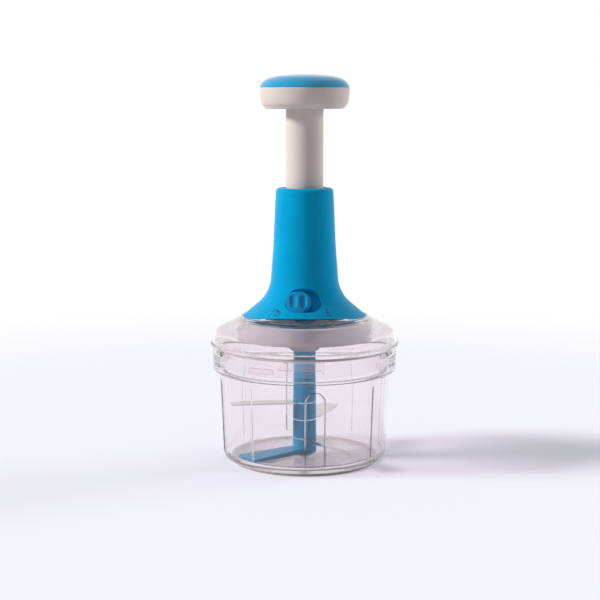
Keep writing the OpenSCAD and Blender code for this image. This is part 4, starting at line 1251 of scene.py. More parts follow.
@dataclass
class Lid:
    """The clear lid, its lugs and its seal, with the drive cover that hangs in it."""

    hem: Hem
    wall: float = 2.6
    lip_t: float = 2.6
    dome_inset: float = 0.5
    dome_side_h: float = 1.4
    shoulder_r: float = 11.0
    slope: float = 27.0
    collar_r: float = 54.3
    collar_in_r: float = 52.6
    collar_lip: float = 0.3
    neck_inset: float = 0.2
    flange_t: float = 2.4
    flange_in_r: float = 42.0
    skirt_r: float = 72.6
    skirt_t: float = 2.4
    lug_half: float = 8.5
    lug_az: float = -28.65
    lug_h: float = 4.2
    lug_z: float = 86.2
    lug_r: float = 74.7
    cover_r: float = 57.0
    cover_wall: float = 2.4
    cover_hub_r: float = 13.0
    cover_hub_h: float = 11.3
    cover_hole_r: float = 9.6
    hub_bore_r: float = 10.7
    screw_r: float = 24.0
    screw_head_t: float = 1.3

    def __post_init__(self) -> None:
        """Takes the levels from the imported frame."""
        self.lip_r = high("lid").x
        self.dome_r = self.lip_r - self.dome_inset
        self.skirt_z = low("lid").z
        self.lip_z = high("bowl").z + 0.2
        self.side_z = self.lip_z + self.lip_t + self.dome_side_h
        s = math.radians(self.slope)
        self.mid_r = self.dome_r - self.shoulder_r
        self.edge_r = self.mid_r + self.shoulder_r * math.sin(s)
        self.edge_z = self.side_z + self.shoulder_r * math.cos(s)
        self.dome_t = self.wall / math.cos(s)
        self.cover_z = low("drive_cover").z + self.cover_hub_h

    def dome_z(self, r: float) -> float:
        """Height of the dome's outer cone at a radius."""
        return self.edge_z + (self.edge_r - r) * math.tan(math.radians(self.slope))

    def section(self, az: float) -> Section:
        """The lid's section at an azimuth, round its wall.

        Args:
            az: Azimuth in degrees.

        Returns:
            The closed section.
        """
        hem, turn = self.hem, 90 - self.slope
        collar_top = hem.z + self.collar_lip
        neck_r, neck_z = hem.edge(az, self.neck_inset, 0.1)
        foot_z = min(collar_top, neck_z) - 0.06
        inner_inset = self.neck_inset + self.flange_t
        s, q = math.tan(math.radians(hem.slope)), math.tan(math.radians(self.slope))
        base = hem.cone_r(hem.z, inner_inset)
        root_r = (hem.z + base * s - self.edge_z - self.edge_r * q + self.dome_t) / (s - q)
        root_z = self.dome_z(root_r) - self.dome_t
        flange_z = hem.seat_z(self.flange_in_r, az, 0.1)
        under_z = hem.seat_z(base - 4.0, az, 0.1 + self.flange_t)
        under_r = hem.cone_r(under_z, inner_inset)
        skirt_in = self.skirt_r - self.skirt_t
        out = fillet([(skirt_in, self.skirt_z, 0.6), (self.skirt_r, self.skirt_z, 0.6), (self.skirt_r, self.lip_z, 0.5),
                      (self.lip_r, self.lip_z, 0.6), (self.lip_r, self.lip_z + self.lip_t, 0.9),
                      (self.dome_r, self.lip_z + self.lip_t, 0.2), (self.dome_r, self.side_z, 0)], closed=False)
        out += arc(self.mid_r, self.side_z, self.shoulder_r, 3, turn, 14)
        out += [(self.collar_r + 4.0, self.dome_z(self.collar_r + 4.0))]
        out += arc(self.collar_r + 0.7, self.dome_z(self.collar_r) + 0.35, 0.7, 270, 180, 3)
        out += arc(self.collar_r - 0.3, collar_top - 0.3, 0.3, 0, 90, 3)
        out += [(self.collar_in_r + 0.15, collar_top), (hem.cone_r(foot_z, self.neck_inset) + 0.05, foot_z)]
        out += [(neck_r + 0.02, neck_z - 0.05), (neck_r - 0.2, neck_z + 0.0), (self.flange_in_r + 0.3, flange_z),
                (self.flange_in_r, flange_z - 0.3), (self.flange_in_r, flange_z - self.flange_t)]
        out += [(under_r - 1.0, under_z + 0.1), (under_r, under_z - 0.9), (root_r, root_z)]
        out += arc(self.mid_r, self.side_z, self.shoulder_r - self.wall, turn, 0, 10)
        side_in, lip_top = self.dome_r - self.wall, self.lip_z + self.lip_t
        out += [(side_in, lip_top + 0.4), (side_in - 0.4, lip_top), (skirt_in + 0.6, lip_top),
                (skirt_in, lip_top - 0.6)]
        return out

    def build(self, finishes: Finishes, ring: bpy.types.NodeTree) -> None:
        """Makes the lid and what hangs in it.

        Args:
            finishes: The finishes.
            ring: The tree that repeats a piece round the axis.
        """
        dome = lathe("lid_dome", self.section, even_azimuths(240), sharp=28)
        dome.data.materials.append(finishes.clear)
        dome.data.materials.append(finishes.satin)
        dome.data.materials.append(finishes.painted_dark_outline)
        for face in dome.data.polygons:
            r = math.hypot(face.center.x, face.center.y) / MM
            z = face.center.z / MM
            if abs(face.normal.z) > 0.8 and self.collar_r + 1 < r < self.edge_r and z > self.side_z + 3:
                face.material_index = 1
            # the lip's lower outer edge gets the dark tint: a painted dark outline, painted shade
            elif r > self.lip_r - 0.75 and z < self.lip_z + 0.65:
                face.material_index = 2
        fit(dome, Body.LID, Slot.CLEAR, finishes.clear, ["lid"])
        root_r, lug_top = self.skirt_r + 0.02, self.lug_z + self.lug_h
        lug_profile = fillet([(root_r, self.lug_z, 0), (self.lug_r, self.lug_z, 0.9), (self.lug_r, lug_top, 0.3),
                              (root_r, lug_top, 0)])
        lugs = lathe("lid_lugs", lambda az: lug_profile,
                     [-self.lug_half + 2 * self.lug_half * i / 10 for i in range(11)], whole=False)
        run_tree(lugs, ring, {"Count": 4, "First angle": math.radians(self.lug_az),
                              "Step angle": math.radians(90), "Finish": finishes.clear})
        fit(lugs, Body.LID, Slot.CLEAR, finishes.clear)
        self.build_seal(finishes)
        self.build_cover(finishes)
        screw_set("cover_screws", "cover_screw_set", self.screw_r, self.screw_head_t, finishes, ring)

    def build_seal(self, finishes: Finishes) -> None:
        """The seal ring between the skirt and the rim band, with two lips.

        Args:
            finishes: The finishes.
        """
        z0, z1, r = low("lid_seal").z, high("lid_seal").z, high("lid_seal").x
        foot = self.skirt_r + 0.1
        mid = (z0 + z1) / 2
        seal = turned("seal_ring", [(foot, z0, 0.2), (r - 0.9, z0, 0.2), (r - 0.02, z0 + 0.6, 0.3), (r - 0.7, mid, 0.2),
                                    (r - 0.02, z1 - 0.6, 0.3), (r - 0.5, z1, 0.2), (foot, z1, 0.2)], 200)
        fit(seal, Body.SEAL, Slot.SEAL, finishes.seal, ["lid_seal"])

    def build_cover(self, finishes: Finishes) -> None:
        """The drive cover under the dome, with its hub and a rounded lower edge.

        Args:
            finishes: The finishes.
        """
        z, low_z = self.cover_z, low("drive_cover").z
        wall, floor_z = self.cover_wall, self.cover_z + self.cover_wall
        top_out = self.dome_z(self.cover_r) - self.dome_t - 0.1
        top_in = self.dome_z(self.cover_r - wall) - self.dome_t - 0.1
        hub_seat = low("drive_hub").z - 0.3
        cover = turned("cover_shell", [
            (self.cover_hole_r, low_z, 0.2), (self.cover_hub_r - 2.2, low_z, 0.5),
            (self.cover_hub_r, low_z + 3.5, 0.8), (self.cover_hub_r, z, 0.8),
            (self.cover_r, z, 1.2), (self.cover_r, top_out, 0.1), (self.cover_r - wall, top_in, 0.1),
            (self.cover_r - wall, floor_z, 1.0), (self.hub_bore_r, floor_z, 0.3), (self.hub_bore_r, hub_seat, 0),
            (self.cover_hole_r, hub_seat, 0)], 200)
        fit(cover, Body.LID, Slot.COVER, finishes.cover, ["drive_cover"])


def screw(name: str, tip_z: float, head_z: float, out_r: float, head_t: float, head_r: float = 2.85,
          shank_r: float = 1.5) -> bpy.types.Object:
    """A screw whose head looks down, at the front, a distance from the axis.

    Args:
        name: The piece's name.
        tip_z: Height of the shank's end.
        head_z: Height of the head's face.
        out_r: Distance from the axis.
        head_t: Thickness of the head.
        head_r: Radius of the head.
        shank_r: Radius of the shank.

    Returns:
        The screw, with a cross recess in its head.
    """
    rings = []
    profile = [(0.0, head_z + 0.7), (head_r * 0.16, head_z + 0.7), (head_r * 0.24, head_z), (head_r - 0.3, head_z),
               (head_r, head_z + 0.25), (shank_r + 0.1, head_z + head_t), (shank_r, head_z + head_t + 0.2),
               (shank_r, tip_z - 0.8), (shank_r - 0.5, tip_z - 0.01), (0.0, tip_z - 0.01)]
    steps = 32
    for i in range(steps):
        a = 2 * math.pi * i / steps
        arm = 1.0 + 1.5 * max(0.0, math.cos(4 * a)) ** 3
        ring = []
        for k, (r, z) in enumerate(profile):
            reach = r * arm if k in (1, 2) else r
            ring.append((reach * math.cos(a), reach * math.sin(a) - out_r, z))
        rings.append(ring)
    count = len(profile)
    verts = [p for ring in rings for p in ring]
    faces = [[i * count + j, (i + 1) % steps * count + j, (i + 1) % steps * count + j + 1, i * count + j + 1]
             for i in range(steps) for j in range(count - 1)]
    return make_mesh(name, verts, faces, 40)


def screw_set(node: str, name: str, out_r: float, head_t: float, finishes: Finishes,
              ring: bpy.types.NodeTree) -> None:
    """Makes the four screws of a node, a quarter turn apart.

    Args:
        node: The CAD node that the screws stand for.
        name: The piece's name.
        out_r: Distance of the screws from the axis.
        head_t: Thickness of their heads.
        finishes: The finishes.
        ring: The tree that repeats a piece round the axis.
    """
    screws = screw(name, high(node).z, low(node).z + 0.05, out_r, head_t)
    run_tree(screws, ring, {"Count": 4, "First angle": math.radians(45), "Step angle": math.radians(90),
                            "Finish": finishes.steel})
    fit(screws, Body.LID, Slot.STEEL, finishes.steel, [node])


# ---------------------------------------------------------------------- handle


@dataclass
class Slope:
    """The plane of the slide's window on the handle's flare, with its own u, v and w."""

    x: float = -1.2
    rise: float = 16.6

    def place(self, u: float, v: float, w: float, handle: "Handle") -> tuple[float, float, float]:
        """Point at u to the right, v up the slope and w out of it.

        Args:
            u: Millimetres to the right.
            v: Millimetres up the slope.
            w: Millimetres out of the slope.
            handle: The handle, whose slope it is.

        Returns:
            The point in millimetres.
        """
        y0, z0, tilt = handle.slide_y, handle.slide_z, handle.tilt
        return (self.x + u, -y0 + v * math.sin(tilt) - w * math.cos(tilt),
                z0 + v * math.cos(tilt) + w * math.sin(tilt))


@dataclass
class Handle:
    """The blue handle with its window, button and marks, and what it holds."""

    hem: Hem
    slope: Slope = field(default_factory=Slope)
    flare_r: float = 32.0
    waist_r: float = 28.3
    grip_r: float = 26.4
    neck_r: float = 24.2
    neck_round: float = 3.5
    wall: float = 2.4
    mouth_r: float = 17.0
    window_w: float = 30.6
    window_h: float = 22.6
    pocket_d: float = 6.0
    button_r: float = 10.75
    button_x: float = -4.0
    button_out: float = 1.0
    stem_w: float = 2.5
    peg_y: float = 25.5
    plate_t: float = 3.0
    scoop_r: float = 4.4
    scoop_u: float = 4.4
    mark_w: float = 0.8
    pad_half_az: float = 36.0
    pad_fade_az: float = 4.0
    pad_t: float = 6.5
    pad_low_t: float = 4.5
    pad_low_h: float = 8.0
    screw_r: float = 38.0
    screw_head_t: float = 2.0
    spring_r: float = 9.2
    spring_wire_r: float = 0.8
    spring_turns: float = 12.0

    def __post_init__(self) -> None:
        """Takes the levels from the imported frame."""
        s = math.radians(self.hem.slope)
        self.top_z = high("handle_shell").z
        run = self.flare_r * (1 - math.sin(s))
        self.flare_z = self.hem.z + (self.hem.r - self.waist_r - run) * math.tan(s)
        self.waist_z = self.flare_z + self.flare_r * math.cos(s)
        self.grip_z = self.waist_z + (self.top_z - self.waist_z) / 3
        self.slide_z = self.hem.z + self.slope.rise
        self.tilt = math.asin((self.waist_z - self.slide_z) / self.flare_r)
        self.slide_y = self.waist_r + self.flare_r * (1 - math.cos(self.tilt))

    def outer_r(self, z: float) -> float:
        """Radius of the handle's outside at a height.

        Args:
            z: Height in millimetres.

        Returns:
            The radius in millimetres.
        """
        if z < self.flare_z:
            return self.hem.cone_r(z)
        if z < self.waist_z:
            return self.waist_r + self.flare_r - math.sqrt(self.flare_r ** 2 - (self.waist_z - z) ** 2)
        if z < self.grip_z:
            return self.waist_r + (self.grip_r - self.waist_r) * (z - self.waist_z) / (self.grip_z - self.waist_z)
        return self.grip_r + (self.neck_r - self.grip_r) * (z - self.grip_z) / (self.top_z - self.grip_z)

    def section(self, az: float) -> Section:
        """The handle's section at an azimuth, up its outside and down its inside.

        Args:
            az: Azimuth in degrees.

        Returns:
            The closed section.
        """
        edge_r, edge_z = self.hem.edge(az)
        low_rows = [edge_z + (self.flare_z - edge_z) * i / 8 for i in range(1, 9)]
        mid_rows = [self.flare_z + (self.waist_z - self.flare_z) * i / 26 for i in range(1, 27)]
        top_rows = [self.waist_z + (self.top_z - self.neck_round - self.waist_z) * i / 16 for i in range(1, 16)]
        rows = low_rows + mid_rows + top_rows
        out = [(edge_r - 0.25, edge_z), (edge_r - 0.02, edge_z + 0.25)]
        out += [(self.outer_r(z), z) for z in rows]
        neck = self.outer_r(self.top_z - self.neck_round)
        out += arc(neck - self.neck_round, self.top_z - self.neck_round, self.neck_round, 0, 90, 8)
        out += arc(self.mouth_r + 0.5, self.top_z - 0.5, 0.5, 90, 180, 3)
        out += [(self.mouth_r, self.top_z - self.wall)]
        pad = max(0.0, min(1.0, (self.pad_half_az - abs((az + 180) % 360 - 180)) / self.pad_fade_az))
        for z in reversed(rows):
            thick = self.wall
            if self.hem.z + 3 < z < self.waist_z + 4:
                below = max(0.0, min(1.0, (self.slide_z - z) / self.pad_low_h))
                thick += (self.pad_t + self.pad_low_t * below) * pad
            out.append((self.outer_r(min(z, self.top_z - 6)) - thick, min(z, self.top_z - self.wall)))
        inner_r, inner_z = self.hem.edge(az, self.wall)
        out += [(inner_r, inner_z)]
        return out

    def window_tool(self) -> bpy.types.Object:
        """Cutter of the slide's window: a slot with round ends.

        Returns:
            The cutter.
        """
        half_w, half_h = (self.window_w - self.window_h) / 2, self.window_h / 2
        outline = [(half_w + half_h * math.cos(math.radians(a)), half_h * math.sin(math.radians(a)))
                   for a in range(-90, 91, 6)]
        outline += [(-half_w + half_h * math.cos(math.radians(a)), half_h * math.sin(math.radians(a)))
                    for a in range(90, 271, 6)]
        rings = [[self.slope.place(u, v, w, self) for u, v in outline] for w in (-self.pocket_d, 0.0, 12.0)]
        return loft("window_tool", rings)

    def button(self) -> bpy.types.Object:
        """The round button: a low dome with two thumb scoops and a rounded rim.

        Returns:
            The button.
        """
        rings: list[list[tuple[float, float, float]]] = []
        steps = 96

        def top(u: float, v: float) -> float:
            """Height of the button's face over the slope at a place."""
            w = self.button_out - 40 + math.sqrt(1600 - u * u - v * v)
            for side in (-1, 1):
                away = math.hypot(u - side * self.scoop_u, max(0.0, abs(v) - 3.5) * 1.1)
                if away < self.scoop_r:
                    w = min(w, self.button_out + 2.6 - math.sqrt(self.scoop_r ** 2 - away ** 2))
            return w

        radii = [self.button_r * i / 30 for i in range(1, 30)] + [self.button_r - 0.15]
        shape = [(r, None) for r in radii]
        shape += [(self.button_r, 0.35), (self.button_r, 1.6), (self.button_r, self.pocket_d - 0.4)]
        for r, drop in shape:
            ring = []
            for i in range(steps):
                a = 2 * math.pi * i / steps
                u, v = r * math.cos(a), r * math.sin(a)
                rim = max(0.0, r - self.button_r + 0.8) ** 2 * 0.5
                w = top(u, v) - rim if drop is None else top(u, v) - 0.32 - drop if drop < 2 else -drop
                ring.append(self.slope.place(self.button_x + u, v, w, self))
            rings.append(ring)
        verts = [self.slope.place(self.button_x, 0, top(0, 0), self)] + [p for ring in rings for p in ring]
        faces = [[0, 1 + i, 1 + (i + 1) % steps] for i in range(steps)]
        for k in range(len(rings) - 1):
            a, b = 1 + k * steps, 1 + (k + 1) * steps
            faces += [[a + i, b + i, b + (i + 1) % steps, a + (i + 1) % steps] for i in range(steps)]
        faces.append([1 + (len(rings) - 1) * steps + i for i in range(steps)])
        return make_mesh("slide_button", verts, faces, 60)

    def button_stem(self) -> bpy.types.Object:
        """The button's square stem, cut off over the lock plate, with the peg that goes into it.

        Returns:
            The stem and its peg.
        """
        plate_top = high("lock_plate").z
        square = ((-1, -1), (1, -1), (1, 1), (-1, 1))
        reach = (self.slide_y - self.peg_y) / math.cos(self.tilt) + 0.6
        rings = []
        for i in range(9):
            w = 1.0 - self.pocket_d - (reach + 1.0 - self.pocket_d) * i / 8
            edges = [self.slope.place(self.button_x + s * self.stem_w, q * self.stem_w, w, self) for s, q in square]
            rings.append([(x, y, max(z, plate_top + 0.3)) for x, y, z in edges])
        peg = loft("button_peg", [[(self.slope.x + self.button_x + s * 1.5, q * 1.5 - self.peg_y, z) for s, q in square]
                                  for z in (plate_top - self.plate_t, plate_top + 3.0)])
        return joined("button_stem", [loft("button_post", rings), bevelled(peg, 0.25)])

    def stroke(self, name: str, points: Sequence[Point], width: float) -> bpy.types.Object:
        """A raised stroke of a mark that follows the handle's skin.

        Args:
            name: The piece's name.
            points: (azimuth in degrees, height) along the stroke.
            width: The stroke's width in millimetres.

        Returns:
            The stroke as a closed strip.
        """
        rings = []
        for i, (az, z) in enumerate(points):
            before, after = points[max(i - 1, 0)], points[min(i + 1, len(points) - 1)]
            r = self.outer_r(z)
            du, dz = math.radians(after[0] - before[0]) * r, (after[1] - before[1]) / math.sin(math.radians(48))
            length = math.hypot(du, dz) or 1.0
            nu, nz = -dz / length * width / 2, du / length * width / 2 * math.sin(math.radians(48))
            ring = []
            for side, out in ((-1, -0.3), (1, -0.3), (1, 0.05), (0, 0.09), (-1, 0.05)):
                height = z + side * nz
                ring.append(place(az + math.degrees(side * nu / r), self.outer_r(height) + out, height))
            rings.append(ring)
        return loft(name, rings, sharp=60)

    def marks(self) -> bpy.types.Object:
        """The marks by the slide: an arrow by a loop on the left, and two dots over a chevron on the right.

        Returns:
            The marks as one piece.
        """
        def turn(cx: float, cz: float, r: float, start: float, end: float) -> list[Point]:
            """Points of an arc on the skin, in azimuth and height."""
            return [(cx + r * 1.35 * math.cos(math.radians(start + (end - start) * i / 14)),
                     cz + r * 0.78 * math.sin(math.radians(start + (end - start) * i / 14))) for i in range(15)]
        parts = [self.stroke("mark_arrow", turn(-35.0, 132.7, 2.4, 185, 5), self.mark_w),
                 self.stroke("mark_head", [(-33.0, 133.6), (-31.9, 132.5), (-30.6, 133.7)], self.mark_w),
                 self.stroke("mark_loop", turn(-30.9, 132.0, 2.1, 150, -160), self.mark_w),
                 self.stroke("mark_dot_high", turn(26.4, 135.3, 0.5, 0, 360), 1.0),
                 self.stroke("mark_dot_low", turn(26.1, 133.1, 0.5, 0, 360), 1.0),
                 self.stroke("mark_chevron", [(23.2, 131.5), (26.4, 130.5), (29.5, 131.6)], self.mark_w)]
        return joined("slide_marks", parts)

    def build(self, finishes: Finishes, ring: bpy.types.NodeTree, coil: bpy.types.NodeTree) -> None:
        """Makes the handle and what it holds.

        Args:
            finishes: The finishes.
            ring: The tree that repeats a piece round the axis.
            coil: The tree that winds a coil.
        """
        azimuths = [a - 48 for a in range(0, 96)] + [48 + 3 * i for i in range(0, 88)]
        housing = lathe("handle_housing", self.section, azimuths, sharp=30)
        cut(housing, self.window_tool(), 28)
        fit(housing, Body.LID, Slot.BLUE, finishes.blue, ["handle_shell"])
        fit(self.marks(), Body.LID, Slot.BLUE, finishes.mark)
        fit(self.button(), Body.LOCK, Slot.BUTTON, finishes.button, ["lock_button"])
        fit(self.button_stem(), Body.LOCK, Slot.BUTTON, finishes.button)
        self.build_spring(finishes, coil)
        screw_set("housing_screws", "housing_screw_set", self.screw_r, self.screw_head_t, finishes, ring)
        dress("base_plate", finishes.blue)
        dress("guide_bush", finishes.white)
        dress("rod_bush", finishes.bronze)
        dress("lock_plate", finishes.white)

    def build_spring(self, finishes: Finishes, coil: bpy.types.NodeTree) -> None:
        """The return spring, wound between the rod's bush and the seat washer.

        Args:
            finishes: The finishes.
            coil: The tree that winds a coil.
        """
        foot, top = low("return_spring").z, high("return_spring").z
        wire = self.spring_wire_r
        spring = run_tree(empty_piece("spring_coil"), coil, {
            "Turns": self.spring_turns, "Coil radius": self.spring_r * MM, "Length": (top - foot - 2 * wire) * MM,
            "Foot": (foot + wire) * MM, "Wire radius": wire * MM, "Finish": finishes.steel})
        fit(spring, Body.LID, Slot.STEEL, finishes.steel, ["return_spring"])
        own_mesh(spring)


# --------------------------------------------------------------------- plunger


@dataclass
class Plunger:
    """The grey tube with its knob and cap, and the nut, washer and screws inside."""

    tube_r: float = 15.8
    tube_wall: float = 2.4
    stop_h: float = 4.0
    key_w: float = 1.6
    key_d: float = 1.2
    knob_r: float = 37.6
    knob_base_r: float = 34.0
    knob_h: float = 17.7
    knob_round: float = 2.2
    knob_wall: float = 2.4
    rib_count: int = 6

    def __post_init__(self) -> None:
        """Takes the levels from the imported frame."""
        self.foot_z, self.tube_top = low("plunger_tube").z, high("plunger_tube").z
        self.stop_r = high("plunger_tube").x
        self.knob_z = low("knob_shell").z
        self.knob_top = self.knob_z + self.knob_h
        self.cap_top = high("knob_cap").z

    def tube_section(self, az: float) -> Section:
        """The tube's section, with the key's groove at the back.

        Args:
            az: Azimuth in degrees.

        Returns:
            The closed section.
        """
        r_in = self.tube_r - self.tube_wall
        off = math.radians(az - 180) * self.tube_r
        r = self.tube_r - (self.key_d if abs(off) < self.key_w else 0.0)
        stop_z, groove_top = self.foot_z + self.stop_h, self.knob_z - 3
        return [(r_in, self.foot_z), (self.stop_r - 0.8, self.foot_z), (self.stop_r, self.foot_z + 0.8),
                (self.stop_r, stop_z), (r, stop_z + 0.01), (r, groove_top), (self.tube_r, groove_top + 0.02),
                (self.tube_r, self.tube_top), (r_in, self.tube_top)]

    def build(self, finishes: Finishes, ring: bpy.types.NodeTree) -> None:
        """Makes the plunger.

        Args:
            finishes: The finishes.
            ring: The tree that repeats a piece round the axis.
        """
        key = math.degrees(self.key_w / self.tube_r)
        azimuths = [180 + side * key + step for side in (-1, 1) for step in (-0.05, 0.05)]
        azimuths = sorted(azimuths + [4 * i for i in range(90) if abs(4 * i - 180) > 6])
        tube = lathe("plunger_sleeve", self.tube_section, azimuths, sharp=40)
        fit(tube, Body.PLUNGER, Slot.GREY, finishes.grey, ["plunger_tube"])
        self.build_knob(finishes, ring)
        for node in ("spring_seat", "knob_screws"):
            dress(node, finishes.steel)
        dress("drive_nut", finishes.white)

    def build_knob(self, finishes: Finishes, ring: bpy.types.NodeTree) -> None:
        """The knob's grey body, its ribs, and the blue cap that sits in it.

        Args:
            finishes: The finishes.
            ring: The tree that repeats a piece round the axis.
        """
        z, top, wall = self.knob_z, self.knob_top, self.knob_wall
        r_tube = self.tube_r + 0.1
        sleeve_r = r_tube + wall
        low_r = self.knob_base_r
        shares = [i / 12 for i in range(1, 13)]
        side = [(low_r + (self.knob_r - low_r) * math.sin(math.pi / 2 * f),
                 z + self.knob_round + (self.knob_h - self.knob_round - 0.8) * f * f) for f in shares]
        profile = [(r_tube, z + 0.4), (r_tube + 0.4, z)]
        profile += arc(low_r - self.knob_round, z + self.knob_round, self.knob_round, -90, -24, 7)
        profile += side
        profile += [(self.knob_r - 0.25, top - 0.15), (self.knob_r - 0.7, top), (self.knob_r - wall, top)]
        profile += [(self.knob_r - wall, z + self.knob_h / 2), (low_r - wall, z + 4), (low_r - wall - 2, z + wall),
                    (sleeve_r, z + wall), (sleeve_r, self.tube_top + wall), (0.0, self.tube_top + wall),
                    (0.0, self.tube_top + 0.1), (r_tube, self.tube_top + 0.1)]
        body = lathe("knob_body", lambda az: profile, even_azimuths(180), sharp=35)
        fit(body, Body.PLUNGER, Slot.GREY, finishes.grey, ["knob_shell"])
        reach = (sleeve_r - 0.3, low_r - wall + 0.3)
        rib = loft("knob_ribs", [[(reach[0], s, h), (reach[1], s, h), (reach[1], s, z + 9.0), (reach[0], s, z + 9.0)]
                                 for s, h in ((-0.8, z + wall - 0.3), (0.8, z + wall - 0.3))])
        run_tree(rib, ring, {"Count": self.rib_count, "First angle": math.radians(30),
                             "Step angle": math.radians(360 / self.rib_count), "Finish": finishes.grey})
        fit(rib, Body.PLUNGER, Slot.GREY, finishes.grey)
        plug_r = self.knob_r - wall - 0.1
        rise = self.cap_top - self.knob_top
        crown = [(37.2, 0.1), (37.4, 0.5), (37.2, 1.4), (36.6, 2.5), (35.6, 3.9), (34.0, 5.4), (31.2, 7.1),
                 (27.5, 8.4), (24.0, 9.15), (20.0, 9.7), (16.0, 10.1), (12.0, 10.4), (6.0, 10.7), (0.0, 10.8)]
        outer = [(r, self.knob_top + dz * rise / 10.8) for r, dz in crown]
        inner = [(0.0, self.cap_top - 2.4), (12.0, self.cap_top - 3.1), (24.0, self.cap_top - 5.0),
                 (31.0, self.cap_top - 8.5), (plug_r - 2, self.knob_top - 1), (plug_r - 2, self.knob_top - 5),
                 (plug_r, self.knob_top - 5),
                 (plug_r, self.knob_top + 0.1)]
        cap_profile = outer + inner
        cap = lathe("knob_crown", lambda az: cap_profile, even_azimuths(180), sharp=40)
        fit(cap, Body.PLUNGER, Slot.BLUE, finishes.cap, ["knob_cap"])


# ----------------------------------------------------------------------- drive


@dataclass
class Drive:
    """The twisted rod with its journal, the clutch halves and the hub."""

    rod_w: float = 9.0
    rod_t: float = 3.0
    lead: float = 40.0
    journal_r: float = 5.0
    shoulder_r: float = 6.5
    square_w: float = 7.0

    def rod(self) -> bpy.types.Object:
        """The rod: a square foot, a round journal with a shoulder, and the twisted bar.

        Returns:
            The rod.
        """
        z0, top = low("drive_rod").z, high("drive_rod").z
        journal_z = high("clutch_upper").z
        shoulder_z = high("rod_bush").z + 2.6
        twist_z = shoulder_z + 1.5
        h = self.square_w / 2
        square = loft("rod_square", [[(s * h, q * h, z) for s, q in ((-1, -1), (1, -1), (1, 1), (-1, 1))]
                                     for z in (z0, journal_z)])
        journal = turned("rod_journal", [(0, journal_z - 0.3, 0), (self.journal_r, journal_z - 0.3, 0.2),
                                         (self.journal_r, shoulder_z, 0), (self.shoulder_r, shoulder_z, 0.3),
                                         (self.shoulder_r, twist_z, 0.3), (0, twist_z, 0)], 64)
        w, t, c = self.rod_w / 2, self.rod_t / 2, 0.5
        outline = [(c - w + 2 * (w - c) * i / 6, -t) for i in range(7)] + [(w, c - t), (w, t - c)]
        outline += [(w - c - 2 * (w - c) * i / 6, t) for i in range(7)] + [(-w, t - c), (-w, c - t)]
        rings = []
        steps = int((top - twist_z) / 0.8)
        for i in range(steps + 1):
            z = twist_z - 0.3 + (top - twist_z + 0.3) * i / steps
            a = -2 * math.pi * (z - twist_z) / self.lead
            cos, sin = math.cos(a), math.sin(a)
            rings.append([(x * cos - y * sin, x * sin + y * cos, z) for x, y in outline])
        return joined("twisted_rod", [square, journal, loft("rod_twist", rings, sharp=40)])

    def build(self, finishes: Finishes) -> None:
        """Makes the drive.

        Args:
            finishes: The finishes.
        """
        fit(self.rod(), Body.ROD, Slot.STEEL, finishes.steel, ["drive_rod"])
        for node in ("clutch_upper", "drive_hub"):
            dress(node, finishes.white)


# ----------------------------------------------------------------------- stage


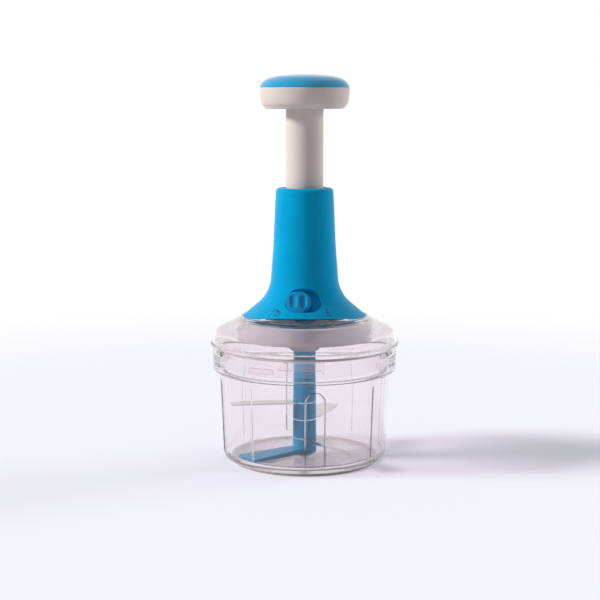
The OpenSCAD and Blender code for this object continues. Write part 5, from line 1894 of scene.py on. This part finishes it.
@dataclass
class Stage:
    """The camera, the lamps, the world and the pale floor."""

    eye: tuple[float, float, float] = (-3.9, -1230.0, 311.2)
    pitch: float = 8.017
    lens: float = 87.54
    floor_r: float = 1500.0
    key_strength: float = 3.4
    rim_strength: float = 1.6
    world_strength: float = 0.25
    bounces: int = 32

    def camera(self) -> None:
        """Stands the camera where the photograph was taken from."""
        data = bpy.data.cameras.new("camera")
        data.sensor_width = 36.0
        data.lens = self.lens
        data.clip_start, data.clip_end = 0.05, 50.0
        eye = bpy.data.objects.new("camera", data)
        eye.location = [c * MM for c in self.eye]
        eye.rotation_euler = (math.radians(90 - self.pitch), 0.0, 0.0)
        bpy.context.scene.collection.objects.link(eye)
        bpy.context.scene.camera = eye

    def lamp(self, name: str, azimuth: float, elevation: float, strength: float, spread_deg: float,
             colour: str) -> None:
        """Adds a soft sun lamp at an azimuth and an elevation, which leaves no glare on polished faces.

        Args:
            name: The lamp's name.
            azimuth: Where the light comes from, in degrees from the front.
            elevation: Its height in degrees.
            strength: Its strength in watts per square metre.
            spread_deg: Angle of the lamp's disc, which softens shadows.
            colour: Its sRGB hex colour.
        """
        data = bpy.data.lights.new(name, "SUN")
        data.energy = strength
        data.angle = math.radians(spread_deg)
        data.color = linear(colour)[:3]
        lamp = bpy.data.objects.new(name, data)
        a, e = math.radians(azimuth), math.radians(elevation)
        back = Vector((math.sin(a) * math.cos(e), -math.cos(a) * math.cos(e), math.sin(e)))
        lamp.rotation_mode = "QUATERNION"
        lamp.rotation_quaternion = (-back).to_track_quat("-Z", "Y")
        lamp.visible_glossy = False
        lamp.visible_transmission = False
        bpy.context.scene.collection.objects.link(lamp)

    def looked_at(self, tree: bpy.types.NodeTree) -> bpy.types.NodeSocket:
        """One where a ray from the camera arrives, straight, through glass or by a reflection.

        Args:
            tree: The node tree.

        Returns:
            The socket of that value.
        """
        path = add_node(tree, "ShaderNodeLightPath")
        straight = add_node(tree, "ShaderNodeMath", {"operation": "MAXIMUM"}, links={
            0: path.outputs["Is Camera Ray"], 1: path.outputs["Is Transmission Ray"]})
        shown = add_node(tree, "ShaderNodeMath", {"operation": "MAXIMUM"}, links={
            0: straight.outputs[0], 1: path.outputs["Is Glossy Ray"]})
        return shown.outputs[0]

    def world(self) -> None:
        """A white surround that lights softly and shows as plain white."""
        world = bpy.data.worlds.new("surround")
        bpy.context.scene.world = world
        world.use_nodes = True
        tree = world.node_tree
        tree.nodes.clear()
        light = add_node(tree, "ShaderNodeBackground", values={
            "Color": linear("#FFF6F4"), "Strength": self.world_strength})
        plain = add_node(tree, "ShaderNodeBackground", values={"Color": (1, 1, 1, 1), "Strength": 1.0})
        mix = add_node(tree, "ShaderNodeMixShader", links={
            0: self.looked_at(tree), 1: light.outputs[0], 2: plain.outputs[0]})
        add_node(tree, "ShaderNodeOutputWorld", links={"Surface": mix.outputs[0]})

    def floor(self) -> None:
        """A pale matt worktop that fades into the white surround."""
        disc = bpy.data.meshes.new("worktop")
        work = bmesh.new()
        bmesh.ops.create_circle(work, cap_ends=True, segments=96, radius=self.floor_r * MM)
        work.to_mesh(disc)
        work.free()
        top = bpy.data.objects.new("worktop", disc)
        bpy.context.scene.collection.objects.link(top)
        material, tree = blank("painted_worktop")
        where = add_node(tree, "ShaderNodeTexCoord")
        away = add_node(tree, "ShaderNodeVectorMath", {"operation": "LENGTH"}, links={0: where.outputs["Object"]})
        fade = add_node(tree, "ShaderNodeMapRange", {"interpolation_type": "SMOOTHSTEP"}, values={
            "From Min": 0.42, "From Max": 0.95, "To Min": 0.0, "To Max": 1.0}, links={"Value": away.outputs["Value"]})
        paint = add_node(tree, "ShaderNodeBsdfDiffuse", values={"Color": linear("#E5E8F2")})
        glow = add_node(tree, "ShaderNodeEmission", values={"Color": linear("#E8EBF8"), "Strength": 0.27})
        lit = add_node(tree, "ShaderNodeAddShader", links={0: paint.outputs[0], 1: glow.outputs[0]})
        white = add_node(tree, "ShaderNodeEmission", values={"Color": (1, 1, 1, 1), "Strength": 1.0})
        seen = add_node(tree, "ShaderNodeMixShader", links={0: fade.outputs[0], 1: lit.outputs[0], 2: white.outputs[0]})
        mix = add_node(tree, "ShaderNodeMixShader", links={
            0: self.looked_at(tree), 1: paint.outputs[0], 2: seen.outputs[0]})
        add_node(tree, "ShaderNodeOutputMaterial", links={"Surface": mix.outputs[0]})
        disc.materials.append(material)
        top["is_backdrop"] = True

    def build(self) -> None:
        """Sets the stage."""
        scene = bpy.context.scene
        scene.view_settings.view_transform = "Standard"
        self.camera()
        self.world()
        self.floor()
        self.lamp("key", -84.0, 27.0, self.key_strength, 14.0, "#FFFDF8")
        self.lamp("rim", 115.0, 15.0, self.rim_strength, 20.0, "#FFFCFA")
        # the nested clear walls turn dark where a ray runs out of bounces
        for bounces in ("max_bounces", "transmission_bounces", "glossy_bounces", "transparent_max_bounces"):
            setattr(scene.cycles, bounces, self.bounces)


def corners() -> list[list[float]]:
    """The object's box as plain lists."""
    return [list(corner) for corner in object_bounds()]


def main() -> None:
    """Builds every sub-assembly in order."""
    logging.basicConfig(level=logging.INFO, format="%(name)s %(message)s")
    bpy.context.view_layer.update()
    finishes = Finishes()
    ring, coil = ring_tree(), coil_tree()
    hem = Hem()
    Stage().build()
    Bowl().build(finishes, ring)
    BladeColumn().build(finishes)
    Lid(hem).build(finishes, ring)
    Handle(hem).build(finishes, ring, coil)
    Plunger().build(finishes, ring)
    Drive().build(finishes)


if __name__ == "__main__":
    main()
